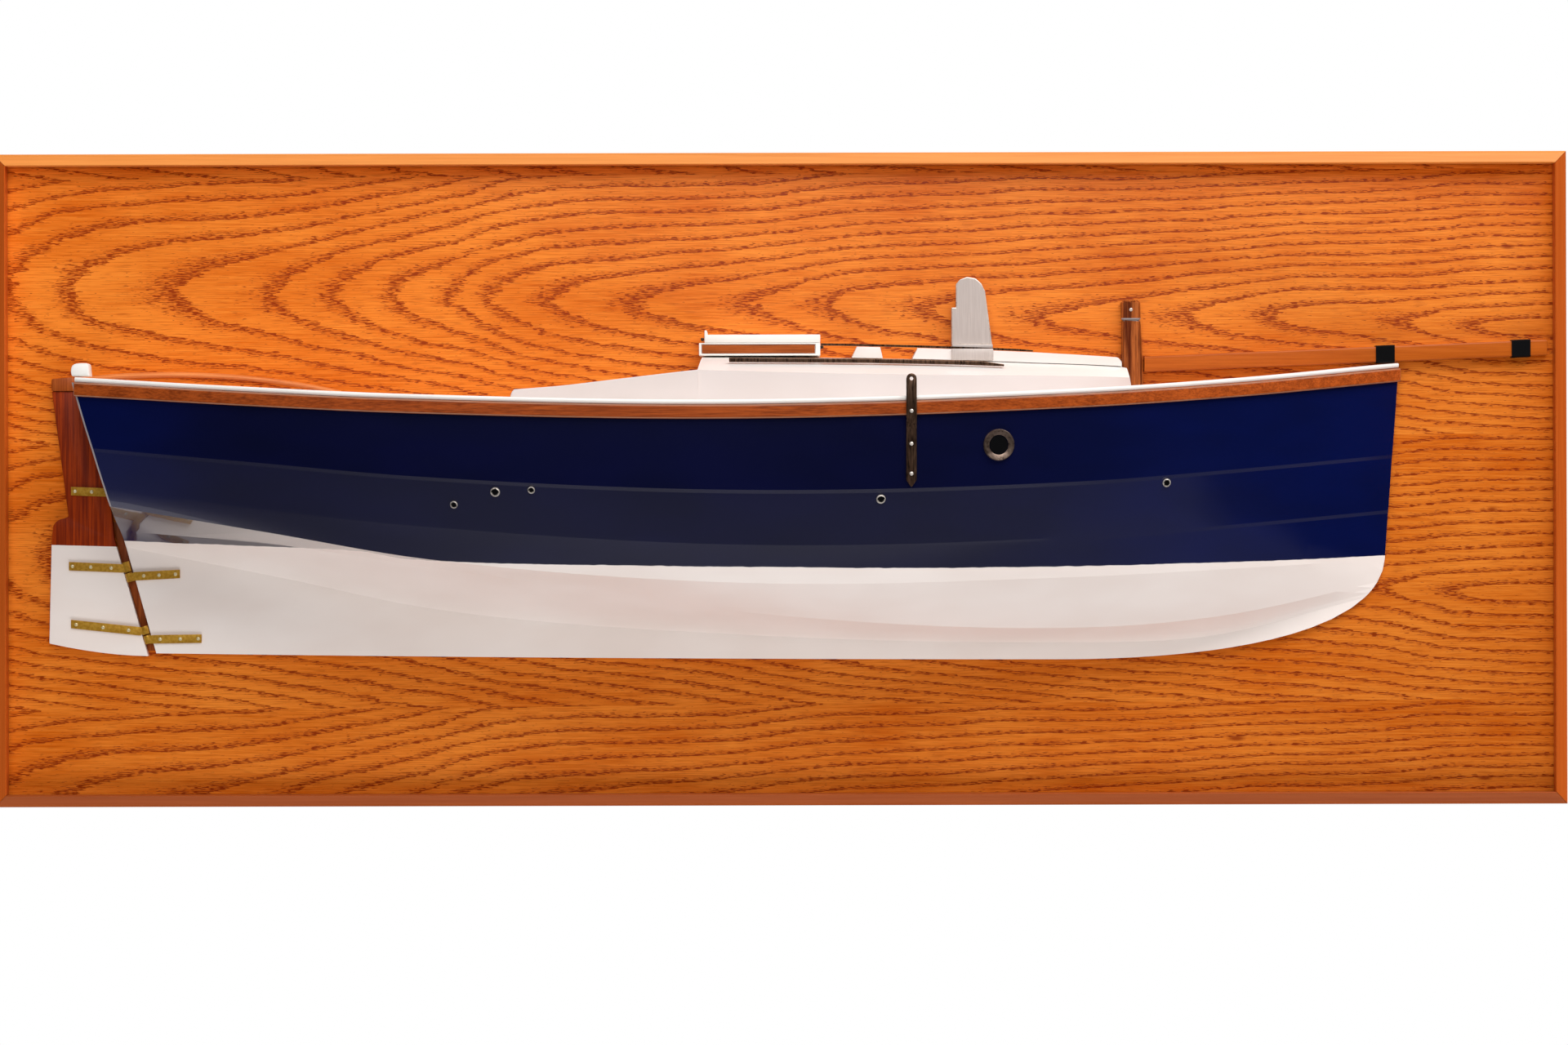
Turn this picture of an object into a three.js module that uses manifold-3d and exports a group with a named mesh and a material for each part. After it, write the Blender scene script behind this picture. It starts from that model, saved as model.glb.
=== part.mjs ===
// A builder's half hull model of a small gaff cutter, bow to +X, on a framed board that hangs on a wall.
// Millimetres, +Z up. The origin is the middle of the board's back, and the model stands out towards -Y.
import * as THREE from 'three';
import { mergeVertices } from 'three/addons/utils/BufferGeometryUtils.js';
import Module from 'manifold-3d';

// Board and frame. The board's sight size is worked out from the hull and the bare board round it.
const sternMargin = 32.4;         // frame to the sternpost line, at rail height
const bowMargin = 3.3;            // bowsprit end to the frame
const keelMargin = 61.1;          // frame to the underside of the keel
const headMargin = 110;           // rail amidships to the frame
const boardThickness = 12;
const boardFit = 0.3;             // joint between the board's edge and the frame
const mouldingWidth = 5.6;
const mouldingDepth = 19.5;
const mouldingEdgeRadius = 1;
const mouldingFall = 2.6;         // how far its face falls back from the inner edge to the outer
const mitreGap = 0.2;

// Half hull
const hullLength = 605.7;         // sternpost line to the stem head, at rail height
const hullDepth = 116.9;          // underside of the keel to the rail amidships
const halfBeam = 101;
const widestShare = 0.46;         // where the hull is widest, as a share of its length from the stern
const sternRake = 0.2885;         // how far the sternpost leans, per unit of height
const transomSweep = 0.1;         // how far the transom runs forward, per unit of breadth
const stemLean = 6.5;             // stem foot to the stem head, along the boat
const stemFootShare = 0.41;       // height of the stem foot, as a share of the hull's depth
const heelShare = 0.032;          // height of the keel's after corner, the same way
const forefootShare = 0.746;      // where the keel starts to rise, as a share of the hull's length
const stemHalf = 3;
const keelHalf = 4.6;
const lapStep = 1.2;              // how far each strake stands out over the one below
const lapStepFore = 0.6;          // the same at the stem
const lapDrop = 1.6;              // height of the bevel under each lap
const deckCamber = 3;
const hullStations = 60;

// Rail, rubbing strake and the block on the quarter
const railHeight = 2.2;
const railInboard = 3.6;
const railOutboard = 0.9;
const strakeHeight = 6.2;
const strakeProud = 2;
const blockLength = 8.6;
const blockDepth = 9;
const blockHeight = 5.8;
const blockBevel = 0.7;
const trimStations = 40;
const trimAft = 0.004;            // trim stops short of the hull's ends by these shares of its length
const trimFore = 0.001;

// Coaming and cabin
const cabinFromStern = 285.2;
const cabinLength = 202.6;
const cabinHalf = 62;
const cabinSide = 15;             // deck to the roof edge at the cabin's after end
const roofCamber = 7.7;           // roof edge to the crown, aft
const edgeFall = 2.4;             // how far the roof edge falls before it levels out
const roofFall = 4.8;             // how far the crown falls to the fore end
const cabinAftCurve = 1.6;        // how far forward its after end curves in at the middle
const tumblehome = 0.03;
const frontRake = 0.22;
const frontHalf = 13;             // half-breadth of the flat front
const coamingLength = 83.6;
const coamingThickness = 2.6;
const coamingInset = 6;
const coamingLow = 4.9;           // height of its after end above the deck

// Hatch, pads, rails and tabernacle on the cabin roof
const hatchLength = 55.2;
const hatchHalf = 20;
const hatchHeight = 5.7;
const hatchBorder = 1.1;
const panelRecess = 1;
const lidThickness = 3.7;
const lidSetback = 2.5;
const lidUpstand = 2;
const lidUpstandLength = 1.2;
const padFromHatch = 16.5;
const padLength = 14.2;
const padTaper = 2.2;
const padHeight = 5;
const padFall = 1.5;              // how much less at the cabin's fore end
const trunkFromHatch = 42;
const padHalf = 17;
const trunkHalf = 16;
const trunkForeHalf = 6.5;
const trunkNose = 2.4;            // length of its rounded fore end
const trunkNoseFall = 2;
const runnerWidth = 2.6;
const runnerThickness = 0.9;
const runnerLength = 97;
const grabLength = 124;
const grabFromHatch = 14;
const grabWidth = 2.4;
const grabHeight = 2;
const grabOut = 44;               // after end of the grab strip to the centreline
const grabNarrowing = 10;         // how much nearer its fore end lies
const footFromTrunk = 18.2;
const footLength = 18.6;
const footDepth = 12;
const footHeight = 2.2;
const plateHeight = 31;
const plateBase = 18.6;           // plate's length at the foot, its web included
const plateHead = [               // its rounded head: along from the after edge, and down from the top
  [0, 3.4], [1.8, 1.2], [5.2, 0], [9, 0.7], [11.6, 2.9], [13.4, 6.6],
];
const plateDepth = 6.5;
const plateThickness = 1.6;
const plateWeb = 2;
const plateWebHeight = 17;

// Post and bowsprit
const postFromFront = 1.2;        // cabin front at deck level to the middle of the post
const postSize = 9.6;
const postHeight = 41.6;
const postLean = 1.1;              // its head stands aft of its foot
const postHeadHeight = 8.8;
const postGroove = 0.7;
const postHeadSize = 8.4;
const postHeadChamfer = 1.1;
const postPinRadius = 0.8;
const spritReach = 67.8;          // bowsprit end to the stem head
const spritHeight = 7.2;
const spritDepth = 5;
const spritArris = 0.5;
const spritRise = 0.0396;
const spritSeat = 0.7;            // clear of the rail at the stem head
const bandWidth = 8.6;
const bandThickness = 0.3;
const innerBandFromStem = 6.4;    // stem head back to the middle of the inner band
const outerBandFromEnd = 12;

// Chainplate, hawse ring and skin fittings on the hull side
const chainplateFromStern = 379.6;
const chainplateWidth = 4.6;
const chainplateThickness = 0.9;
const chainplateRise = 9.6;       // its head above the rail
const chainplateBolts = [33.2, 18.9, 5.8];   // heights above its foot
const chainplateBoltRadius = 0.9;
const chainplateEyeRadius = 0.8;
const hawseFromStern = 418.1;
const hawseBelowRail = 23.1;
const hawseRadius = 7;
const hawseBore = 4.1;
const hawseThickness = 1.3;
const fittingThickness = 0.9;

// Rudder, tiller and straps
const rudderGap = 4.1;            // rudder to sternpost
const rudderUnderStern = 2.8;     // how much farther forward it reaches behind the transom's edge
const rudderStepFrom = -12;       // heights between which its fore edge steps forward
const rudderStepTo = -27;
const rudderThickness = 4.2;
const rudderHeadHeight = 6.4;
const rudderHeadWidth = 8.9;
const rudderHeadProud = 0.9;
const rudderHeadFall = 0.8;       // how far its top falls to its after side
const rudderHeadRise = 1.9;       // top of the rudder head above the rail at the stern
const rudderChords = [            // heights as shares of the hull's depth, and breadths aft of its front edge
  { height: 0.071, chord: 43.7 },
  { height: 0.459, chord: 29.5 },
  { height: 0.53, chord: 26.4 },
  { height: 0.571, chord: 17.9 },
];
const tillerLength = 121.2;
const tillerDiameter = 2.8;
const tillerRise = 5.2;           // of its arch above the rudder head
const tillerDrop = 6;             // of its end below the rudder head
const strapHeight = 3.9;
const strapThickness = 0.6;
const barrelDiameter = 3.4;
const barrelProud = 0.5;          // beyond the strap's face
const pinRadius = 0.85;
const pinHeight = 0.45;

const mouldingArris = 0.4;        // small flat on the moulding's inner edge

const glueGap = 0.1;              // between flat faces that are glued together
const fitGap = 0.3;               // between a curved face and what sits on it

const face = -boardThickness;
const sightLength = sternMargin + hullLength + spritReach + bowMargin;
const sightHeight = keelMargin + hullDepth + headMargin;
const sternX = sternMargin - sightLength / 2;
const stemX = sternX + hullLength;
const keelZ = keelMargin - sightHeight / 2;
const widestX = sternX + widestShare * hullLength;

const wasm = await Module();
wasm.setup();

// Finishes
function finish(color, roughness, metalness = 0) {
  return () => new THREE.MeshStandardMaterial({ color, roughness, metalness });
}
const veneer = finish('#c8702c', 0.5);
const frameWood = finish('#b5541f', 0.45);
const varnishedWood = finish('#8a4a28', 0.35);
const navyPaint = finish('#161a3c', 0.12);
const whitePaint = finish('#f0e9e4', 0.4);
const brass = finish('#a58a3c', 0.35, 1);
const aluminium = finish('#b9babc', 0.4, 1);
const steel = finish('#c9c9cc', 0.25, 1);
const bronze = finish('#4c3d33', 0.45, 0.8);
const blackBand = finish('#141416', 0.6);

const model = new THREE.Group();

function add(name, geometry, material) {
  const mesh = new THREE.Mesh(geometry, material());
  mesh.name = name;
  model.add(mesh);
  return mesh;
}

const mix = THREE.MathUtils.lerp;
const clamp = THREE.MathUtils.clamp;
const shares = (count) => Array.from({ length: count + 1 }, (_, i) => i / count);

// A smooth line through values given at rising positions
function fair(positions, values) {
  const line = new THREE.CubicInterpolant(positions, values, 1);
  return (at) => line.evaluate(clamp(at, positions[0], positions.at(-1)))[0];
}

// Surfaces as lists of triangles, each a Vector3 corner list
function band(lower, upper) {
  const triangles = [];
  for (let i = 0; i + 1 < lower.length; i += 1) {
    triangles.push(lower[i], lower[i + 1], upper[i + 1]);
    triangles.push(lower[i], upper[i + 1], upper[i]);
  }
  return triangles;
}

// A flat loop filled with triangles that turn the same way as the loop
function fill(loop, flatten) {
  const flat = loop.map(flatten);
  const triangles = THREE.ShapeUtils.triangulateShape(flat, []);
  const areas = triangles.map((corners) => THREE.ShapeUtils.area(corners.map((corner) => flat[corner])));
  const same = areas.reduce((sum, area) => sum + area, 0) * THREE.ShapeUtils.area(flat) > 0;
  const turned = same ? triangles : triangles.map((corners) => corners.toReversed());
  return turned.flat().map((corner) => loop[corner]);
}

function closed(triangles) {
  const positions = triangles.flatMap((point) => point.toArray());
  const raw = new THREE.BufferGeometry();
  raw.setAttribute('position', new THREE.Float32BufferAttribute(positions, 3));
  return outward(mergeVertices(raw, 1e-4));
}

// Drops slivers, and turns the whole skin over where it encloses a negative volume
function outward(geometry) {
  const corner = [new THREE.Vector3(), new THREE.Vector3(), new THREE.Vector3()];
  const position = geometry.getAttribute('position');
  const index = geometry.getIndex().array;
  const kept = [];
  let volume = 0;
  for (let i = 0; i < index.length; i += 3) {
    const [a, b, c] = [index[i], index[i + 1], index[i + 2]];
    if (a !== b && b !== c && c !== a) {
      corner.forEach((point, k) => point.fromBufferAttribute(position, index[i + k]));
      volume += corner[0].dot(corner[1].clone().cross(corner[2]));
      kept.push([a, b, c]);
    }
  }
  geometry.setIndex(kept.flatMap(([a, b, c]) => (volume > 0 ? [a, b, c] : [a, c, b])));
  return geometry;
}

// A solid through closed loops of equal count, with flat ends
function loft(loops, flatten) {
  const triangles = [];
  for (let i = 0; i + 1 < loops.length; i += 1) {
    triangles.push(...band([...loops[i], loops[i][0]], [...loops[i + 1], loops[i + 1][0]]));
  }
  triangles.push(...fill(loops[0], flatten).reverse(), ...fill(loops.at(-1), flatten));
  return closed(triangles);
}

const flatYZ = (point) => new THREE.Vector2(point.y, point.z);
const flatXZ = (point) => new THREE.Vector2(point.x, point.z);
const flatXY = (point) => new THREE.Vector2(point.x, point.y);

// A plate of any outline in X and Z, from one distance out from the board to another
function plate(outline, near, far) {
  const loops = [near, far].map((out) => outline.map(([x, z]) => new THREE.Vector3(x, face - out, z)));
  return loft(loops, flatXZ);
}

function toManifold(geometry) {
  const bare = geometry.clone();
  bare.deleteAttribute('normal');
  bare.deleteAttribute('uv');
  const merged = mergeVertices(bare, 1e-4);
  return new wasm.Manifold(new wasm.Mesh({
    numProp: 3,
    vertProperties: new Float32Array(merged.getAttribute('position').array),
    triVerts: new Uint32Array(merged.getIndex().array),
  }));
}

function fromManifold(solid) {
  const { vertProperties, triVerts } = solid.getMesh();
  const geometry = new THREE.BufferGeometry();
  geometry.setAttribute('position', new THREE.BufferAttribute(new Float32Array(vertProperties), 3));
  geometry.setIndex(Array.from(triVerts));
  return geometry;
}

const join = (a, b) => fromManifold(toManifold(a).add(toManifold(b)));
const cut = (a, b) => fromManifold(toManifold(a).subtract(toManifold(b)));

function block(x0, x1, out0, out1, z0, z1) {
  const geometry = new THREE.BoxGeometry(x1 - x0, out1 - out0, z1 - z0);
  return geometry.translate((x0 + x1) / 2, face - (out0 + out1) / 2, (z0 + z1) / 2);
}

// Board and mitred frame

const boardHalfLength = sightLength / 2 + mouldingWidth / 2 - boardFit;
const boardHalfHeight = sightHeight / 2 + mouldingWidth / 2 - boardFit;
add('backboard', block(
  -boardHalfLength, boardHalfLength, -boardThickness, 0, -boardHalfHeight, boardHalfHeight), veneer);

// The moulding's section: how far in from the outer edge, and how far out from the wall.
// Its rebate holds the board.
function mouldingSection() {
  const rebate = mouldingWidth / 2;
  const lip = boardThickness + boardFit;
  const points = [
    [0, 0], [rebate, 0], [rebate, lip], [mouldingWidth, lip],
    [mouldingWidth, mouldingDepth - mouldingArris], [mouldingWidth - mouldingArris, mouldingDepth],
  ];
  const shoulder = mouldingDepth - mouldingFall * (1 - mouldingEdgeRadius / mouldingWidth);
  for (const share of shares(4)) {
    const turn = share * Math.PI / 2;
    points.push([
      mouldingEdgeRadius * (1 - Math.sin(turn)), shoulder - mouldingEdgeRadius * (1 - Math.cos(turn))]);
  }
  return points;
}

function frameMember(cornerX, cornerZ, alongX) {
  const loops = [1, -1].map((end) => mouldingSection().map(([inward, out]) => {
    const [x, z] = [cornerX * (alongX ? end : 1), cornerZ * (alongX ? 1 : end)];
    const shift = mitreGap / 2;
    return new THREE.Vector3(
      x - Math.sign(x) * (inward + (alongX ? shift : 0)),
      -out,
      z - Math.sign(z) * (inward + (alongX ? 0 : shift)),
    );
  }));
  return loft(loops, alongX ? flatYZ : flatXY);
}

const outerX = sightLength / 2 + mouldingWidth;
const outerZ = sightHeight / 2 + mouldingWidth;
add('frame_top', frameMember(outerX, outerZ, true), frameWood);
add('frame_bottom', frameMember(outerX, -outerZ, true), frameWood);
add('frame_fore', frameMember(outerX, outerZ, false), frameWood);
add('frame_aft', frameMember(-outerX, outerZ, false), frameWood);

// Lines of the hull. Heights are shares of its depth above the keel's underside, at each line's stations.
// Breadths are shares of the half beam: the most, and at the transom.
// A higher entry or run is fuller towards that end.
const lineStations = [0, 0.125, 0.25, 0.5, 0.75, 0.875, 1];
const hullLines = {
  rail: {
    heights: [1.099, 1.058, 1.025, 1, 1.044, 1.092, 1.159],
    most: 1, transom: 0.655, entry: 2.4, run: 2.2,
  },
  lapOne: {
    heights: [0.828, 0.771, 0.715, 0.661, 0.692, 0.741, 0.799],
    most: 0.965, transom: 0.615, entry: 2.25, run: 2.2,
  },
  lapTwo: {
    heights: [0.679, 0.593, 0.527, 0.455, 0.482, 0.528, 0.582],
    most: 0.875, transom: 0.53, entry: 2.05, run: 2.15,
  },
  chine: {
    heights: [0.607, 0.506, 0.403, 0.31, 0.328, 0.356, 0.389],
    most: 0.79, transom: 0.47, entry: 1.95, run: 2.1,
  },
  bilge: {
    heights: [0.512, 0.458, 0.372, 0.193, 0.129, 0.173, 0.299],
    most: 0.5, transom: 0.16, entry: 1.7, run: 1.85,
  },
  garboard: {
    heights: [0.448, 0.327, 0.202, 0.099, 0.067, 0.09, 0.238],
    most: 0.06, transom: 0.045, entry: 1.6, run: 2,
  },
};

// The keel's underside from the heel forward, then the forefoot and the stem, on the centreline
const heelZ = keelZ + heelShare * hullDepth;
const postLine = (z) => sternX - sternRake * (z - keelZ - hullDepth * hullLines.rail.heights[0]);
const heelX = postLine(heelZ);
const forefootX = sternX + forefootShare * hullLength;
const stemFoot = new THREE.Vector2(stemX - stemLean, keelZ + stemFootShare * hullDepth);
const stemHead = new THREE.Vector2(stemX, keelZ + hullDepth * hullLines.rail.heights.at(-1));
const profile = new THREE.Path();
profile.moveTo(heelX, heelZ);
profile.quadraticCurveTo(mix(heelX, forefootX, 0.5), mix(keelZ, heelZ, 0.1), forefootX, keelZ);
profile.bezierCurveTo(
  mix(forefootX, stemFoot.x, 0.48), keelZ, stemFoot.x, mix(keelZ, stemFoot.y, 0.23), stemFoot.x, stemFoot.y);
profile.lineTo(stemHead.x, stemHead.y);
const profilePoints = profile.getPoints(40);

// Reads one coordinate of the profile at the other
function alongProfile(from, to, at) {
  const next = profilePoints.findIndex((point) => point[from] >= at);
  if (next < 1) {
    return next === 0 ? profilePoints[0][to] : profilePoints.at(-1)[to];
  }
  const [low, high] = [profilePoints[next - 1], profilePoints[next]];
  return mix(low[to], high[to], (at - low[from]) / (high[from] - low[from]));
}
const stemAt = (z) => alongProfile('y', 'x', Math.max(z, heelZ + keelHalf / 4));
const undersideAt = (x) => alongProfile('x', 'y', x);

// One line of the hull: its height and its ends, and its half-breadth at any x
function makeLine({ heights, most, transom, entry, run }, drop = 0, inset = 0, endHalf = stemHalf) {
  const height = fair(lineStations, heights);
  const heightAt = (share) => keelZ + hullDepth * height(share) - drop;
  const halfAtTransom = transom * halfBeam - inset;
  const from = postLine(heightAt(0)) + transomSweep * halfAtTransom;
  const to = stemAt(heightAt(1));
  const halfAt = (x) => {
    const ahead = clamp((x - widestX) / (to - widestX), 0, 1);
    const behind = clamp((widestX - x) / (widestX - from), 0, 1);
    const mid = most * halfBeam - inset;
    return x > widestX ? mix(mid, endHalf, ahead ** entry) : mix(mid, halfAtTransom, behind ** run);
  };
  return { heightAt, halfAt, from, to };
}

const railLine = makeLine(hullLines.rail);

// A line straight below another, with the same breadth
function below(line, drop) {
  const heightAt = (share) => line.heightAt(share) - drop;
  const from = postLine(heightAt(0)) + transomSweep * line.halfAt(line.from);
  return { heightAt, halfAt: line.halfAt, from, to: stemAt(heightAt(1)) };
}
const strakeTop = railHeight + glueGap;
const deckEdge = below(railLine, railHeight + fitGap);
const strakeFoot = below(railLine, strakeTop + strakeHeight + fitGap);
const keelLine = makeLine({ ...hullLines.garboard, most: keelHalf / halfBeam, transom: keelHalf / halfBeam });

// Between two lines: straight, or swelling outwards or inwards by a share of the gap between them
function between(upper, lower, share, swell = 0) {
  const bulged = share - swell * Math.sin(share * Math.PI);
  const heightAt = (at) => mix(upper.heightAt(at), lower.heightAt(at), share);
  const halfAt = (x) => mix(upper.halfAt(x), lower.halfAt(x), bulged);
  return { heightAt, halfAt, from: mix(upper.from, lower.from, share), to: stemAt(heightAt(1)) };
}

const lapOneEdge = makeLine(hullLines.lapOne, 0, -lapStep, stemHalf + lapStepFore);
const lapOneFoot = makeLine(hullLines.lapOne, lapDrop);
const lapTwoEdge = makeLine(hullLines.lapTwo, 0, -lapStep, stemHalf + lapStepFore);
const lapTwoFoot = makeLine(hullLines.lapTwo, lapDrop);
const chineLine = makeLine(hullLines.chine);
const bilgeLine = makeLine(hullLines.bilge);
const garboardLine = makeLine(hullLines.garboard);

// The keel's lower edge runs from the heel to where the forefoot meets the garboard
const keelFore = alongProfile('y', 'x', garboardLine.heightAt(1) - keelHalf);
const keelEdge = {
  heightAt: (share) => undersideAt(mix(heelX, keelFore, share)),
  halfAt: (x) => Math.min(keelLine.halfAt(x), garboardLine.halfAt(x)),
  from: heelX,
  to: keelFore,
};

const skinLines = [
  deckEdge,
  strakeFoot,
  between(strakeFoot, lapOneEdge, 0.5, 0.1),
  lapOneEdge,
  lapOneFoot,
  between(lapOneFoot, lapTwoEdge, 0.5, 0.04),
  lapTwoEdge,
  lapTwoFoot,
  between(lapTwoFoot, chineLine, 0.5, 0.04),
  chineLine,
  between(chineLine, bilgeLine, 0.5, 0.04),
  bilgeLine,
  between(bilgeLine, garboardLine, 0.35, -0.06),
  between(bilgeLine, garboardLine, 0.7, -0.1),
  garboardLine,
  keelEdge,
];

const pointOn = (line, share) => {
  const x = mix(line.from, line.to, share);
  return new THREE.Vector3(x, face - glueGap - line.halfAt(x), line.heightAt(share));
};
const onBoard = (point, x = point.x) => new THREE.Vector3(x, face - glueGap, point.z);

// The cambered deck at any place: height over the line of its edge
const railShare = (x) => clamp((x - railLine.from) / (railLine.to - railLine.from), 0, 1);
const camberAt = (x) => deckCamber * ((railLine.halfAt(x) - stemHalf) / (halfBeam - stemHalf)) ** 2;
function deckZ(x, out) {
  const across = clamp(out / railLine.halfAt(x), 0, 1);
  return deckEdge.heightAt(railShare(x)) + camberAt(x) * (1 - across ** 2);
}

function hullGeometry() {
  const along = shares(hullStations);
  const skin = skinLines.map((line) => along.map((share) => pointOn(line, share)));
  const deck = [0, 0.25, 0.5, 0.75].map((across) => skin[0].map((edge, i) => {
    if (i === hullStations) {
      return onBoard(edge);
    }
    const half = deckEdge.halfAt(edge.x) * across;
    const z = edge.z + camberAt(edge.x) * (1 - across ** 2);
    const x = i === 0 ? postLine(z) + transomSweep * half : edge.x;
    return new THREE.Vector3(x, face - glueGap - half, z);
  }));
  const underside = skin.at(-1).map((point) => onBoard(point));
  const rows = [...deck, ...skin, underside];
  const triangles = [];
  for (let i = 0; i + 1 < rows.length; i += 1) {
    triangles.push(...band(rows[i], rows[i + 1]));
  }
  const transom = rows.map((row) => row[0]);
  const stem = rows.slice(deck.length).map((row) => row.at(-1));
  const stemBack = stem.map((point) => onBoard(point));
  triangles.push(...band(stemBack, stem));
  triangles.push(...fill(transom, flatYZ));
  const back = [...rows[0].toReversed(), ...underside, ...stemBack.slice(1, -2).toReversed()];
  triangles.push(...fill(back, flatXZ));
  return closed(triangles);
}
add('hull', hullGeometry(), navyPaint);

// Half-breadth of the finished side at any place, for what is fixed to it
function sideAt(x, z) {
  const section = skinLines.map((line) => {
    const share = clamp((x - line.from) / (line.to - line.from), 0, 1);
    return { z: line.heightAt(share), half: line.halfAt(x) };
  });
  const next = section.findIndex((point) => point.z <= z);
  const [low, high] = [section[next], section[Math.max(next - 1, 0)]];
  return mix(low.half, high.half, clamp((z - low.z) / (high.z - low.z || 1), 0, 1));
}

// Trim that follows the deck edge. Its section runs outwards from the hull side and down from the rail's top.
function alongSheer(section, from, to) {
  const loops = shares(trimStations).map((step) => {
    const share = mix(from, to, step);
    const x = mix(railLine.from, railLine.to, share);
    const half = railLine.halfAt(x);
    const slope = railLine.halfAt(x + 0.5) - railLine.halfAt(x - 0.5);
    const outwards = new THREE.Vector2(-slope, 1).normalize();
    return section.map(([out, down]) => {
      const reach = Math.max(out, (fitGap - half) / outwards.y);
      return new THREE.Vector3(
        x + outwards.x * reach, face - glueGap - half - outwards.y * reach, railLine.heightAt(share) - down);
    });
  });
  return loft(loops, flatYZ);
}

const roundedOut = (inner, outer, top, foot, radius) => [
  [inner, top], [outer - radius, top], [outer - radius * 0.3, top + radius * 0.3], [outer, top + radius],
  [outer, foot - radius], [outer - radius * 0.3, foot - radius * 0.3], [outer - radius, foot], [inner, foot]];
const strakeSection = roundedOut(
  fitGap, fitGap + strakeProud, strakeTop, strakeTop + strakeHeight, strakeProud * 0.45);
const railSection = roundedOut(-railInboard, railOutboard, 0, railHeight, railHeight * 0.35);
add('rubbing_strake', alongSheer(strakeSection, trimAft, 1 - trimFore), varnishedWood);
add('gunwale_rail', alongSheer(railSection, trimAft, 1 - trimFore), whitePaint);

// The block leans with the sternpost, and its after corner is the rounder one
function blockGeometry() {
  const shape = new THREE.Shape();
  const [length, height] = [blockLength, blockHeight];
  shape.moveTo(0.1 * length, 0);
  shape.quadraticCurveTo(-0.02 * length, 0.45 * height, 0.12 * length, 0.82 * height);
  shape.quadraticCurveTo(0.24 * length, height, 0.6 * length, height);
  shape.lineTo(0.8 * length, height);
  shape.quadraticCurveTo(0.94 * length, height, 0.96 * length, 0.8 * height);
  shape.lineTo(length, 0.2 * height);
  shape.lineTo(length, 0);
  const geometry = new THREE.ExtrudeGeometry(shape, {
    depth: blockDepth - 2 * blockBevel,
    bevelThickness: blockBevel,
    bevelSize: blockBevel,
    bevelOffset: -blockBevel,
    bevelSegments: 2,
    curveSegments: 5,
  });
  return geometry.translate(0, 0, blockBevel).rotateX(Math.PI / 2);
}
const blockOut = railLine.halfAt(railLine.from + blockLength / 2);
add('quarter_block', blockGeometry(), whitePaint)
  .position.set(railLine.from, face - blockOut + blockDepth, railLine.heightAt(0) + fitGap);

// Cabin: a side that curves in to a narrow front, and a cambered roof
const cabinAft = sternX + cabinFromStern;
const cabinFore = cabinAft + cabinLength;
const cabinShare = (x) => clamp((x - cabinAft) / cabinLength, 0, 1);
const [frontPower, roundPower] = [3, 0.6];
const roundFront = (share) => (1 - share ** frontPower) ** roundPower;
const cabinEnd = (1 - (frontHalf / cabinHalf) ** (1 / roundPower)) ** (1 / frontPower);
const cabinHalfAt = (x) => cabinHalf * roundFront(Math.min(cabinShare(x), cabinEnd));
const roofBase = deckZ(cabinAft, cabinHalf) + cabinSide;
const edgeZ = (x) => roofBase - edgeFall * Math.sin(Math.min(cabinShare(x) * 1.6, 1) * Math.PI / 2);
const crownZ = (x) => roofBase + roofCamber - roofFall * cabinShare(x) ** 2;
const roofZ = (x, out) => mix(crownZ(x), edgeZ(x), clamp(out / cabinHalfAt(x), 0, 1) ** 2);

function cabinSection(x) {
  const half = cabinHalfAt(x);
  const loop = [];
  for (const across of shares(4)) {
    loop.push([half * across, deckZ(x, half * across) + fitGap]);
  }
  const roofHalf = half * (1 - tumblehome);
  for (const across of shares(9)) {
    const out = roofHalf * (1 - across);
    loop.push([out, mix(crownZ(x), edgeZ(x), (1 - across) ** 2)]);
  }
  return loop;
}

function cabinGeometry() {
  const stations = shares(30).map((share) => Math.sin(share * Math.PI / 2) * cabinEnd);
  const loops = stations.map((share) => {
    const x = cabinAft + share * cabinLength;
    return cabinSection(x).map(([out, z]) => {
      const lean = Math.max((share - 0.8) / 0.2, 0) ** 2 * frontRake * (z - deckZ(x, 0));
      const curve = cabinAftCurve * Math.max(1 - share / 0.1, 0) * (1 - (out / cabinHalf) ** 2);
      return new THREE.Vector3(x + curve - lean, face - glueGap - out, z);
    });
  });
  return loft(loops, flatYZ);
}
const postX = cabinAft + cabinEnd * cabinLength + postFromFront;
const postRoom = block(postX - postSize / 2 - fitGap, postX + postSize, -1, postSize / 2 + 2 * fitGap,
  deckZ(postX, 0) - postHeight, deckZ(postX, 0) + postHeight);
add('coachroof', cut(cabinGeometry(), postRoom), whitePaint);

// Coaming: a thin plank that rises from the after deck to the cabin side
function coamingGeometry() {
  const rise = fair([0, 0.28, 0.48, 0.82, 1], [0, 0.2, 0.42, 0.8, 1]);
  const after = cabinAft - coamingLength;
  const low = deckZ(after, cabinHalf - coamingInset) + coamingLow;
  const loops = [0, 0.008, 0.02, ...shares(16).slice(1)].map((share) => {
    const x = mix(after, cabinAft - fitGap, share);
    const out = cabinHalf - coamingInset * (1 - share) ** 2;
    const roundedEnd = coamingLow * 0.5 * Math.max(1 - share / 0.02, 0) ** 2;
    const top = mix(low, edgeZ(cabinAft), rise(share)) - roundedEnd;
    const foot = (at) => deckZ(x, at) + fitGap;
    return [
      [out, foot(out)], [out - 0.4, top - 0.5], [out - 0.8, top], [out - coamingThickness, top],
      [out - coamingThickness, foot(out - coamingThickness)],
    ].map(([at, z]) => new THREE.Vector3(x, face - glueGap - at, z));
  });
  return loft(loops, flatYZ);
}
add('cockpit_coaming', coamingGeometry(), whitePaint);

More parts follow.
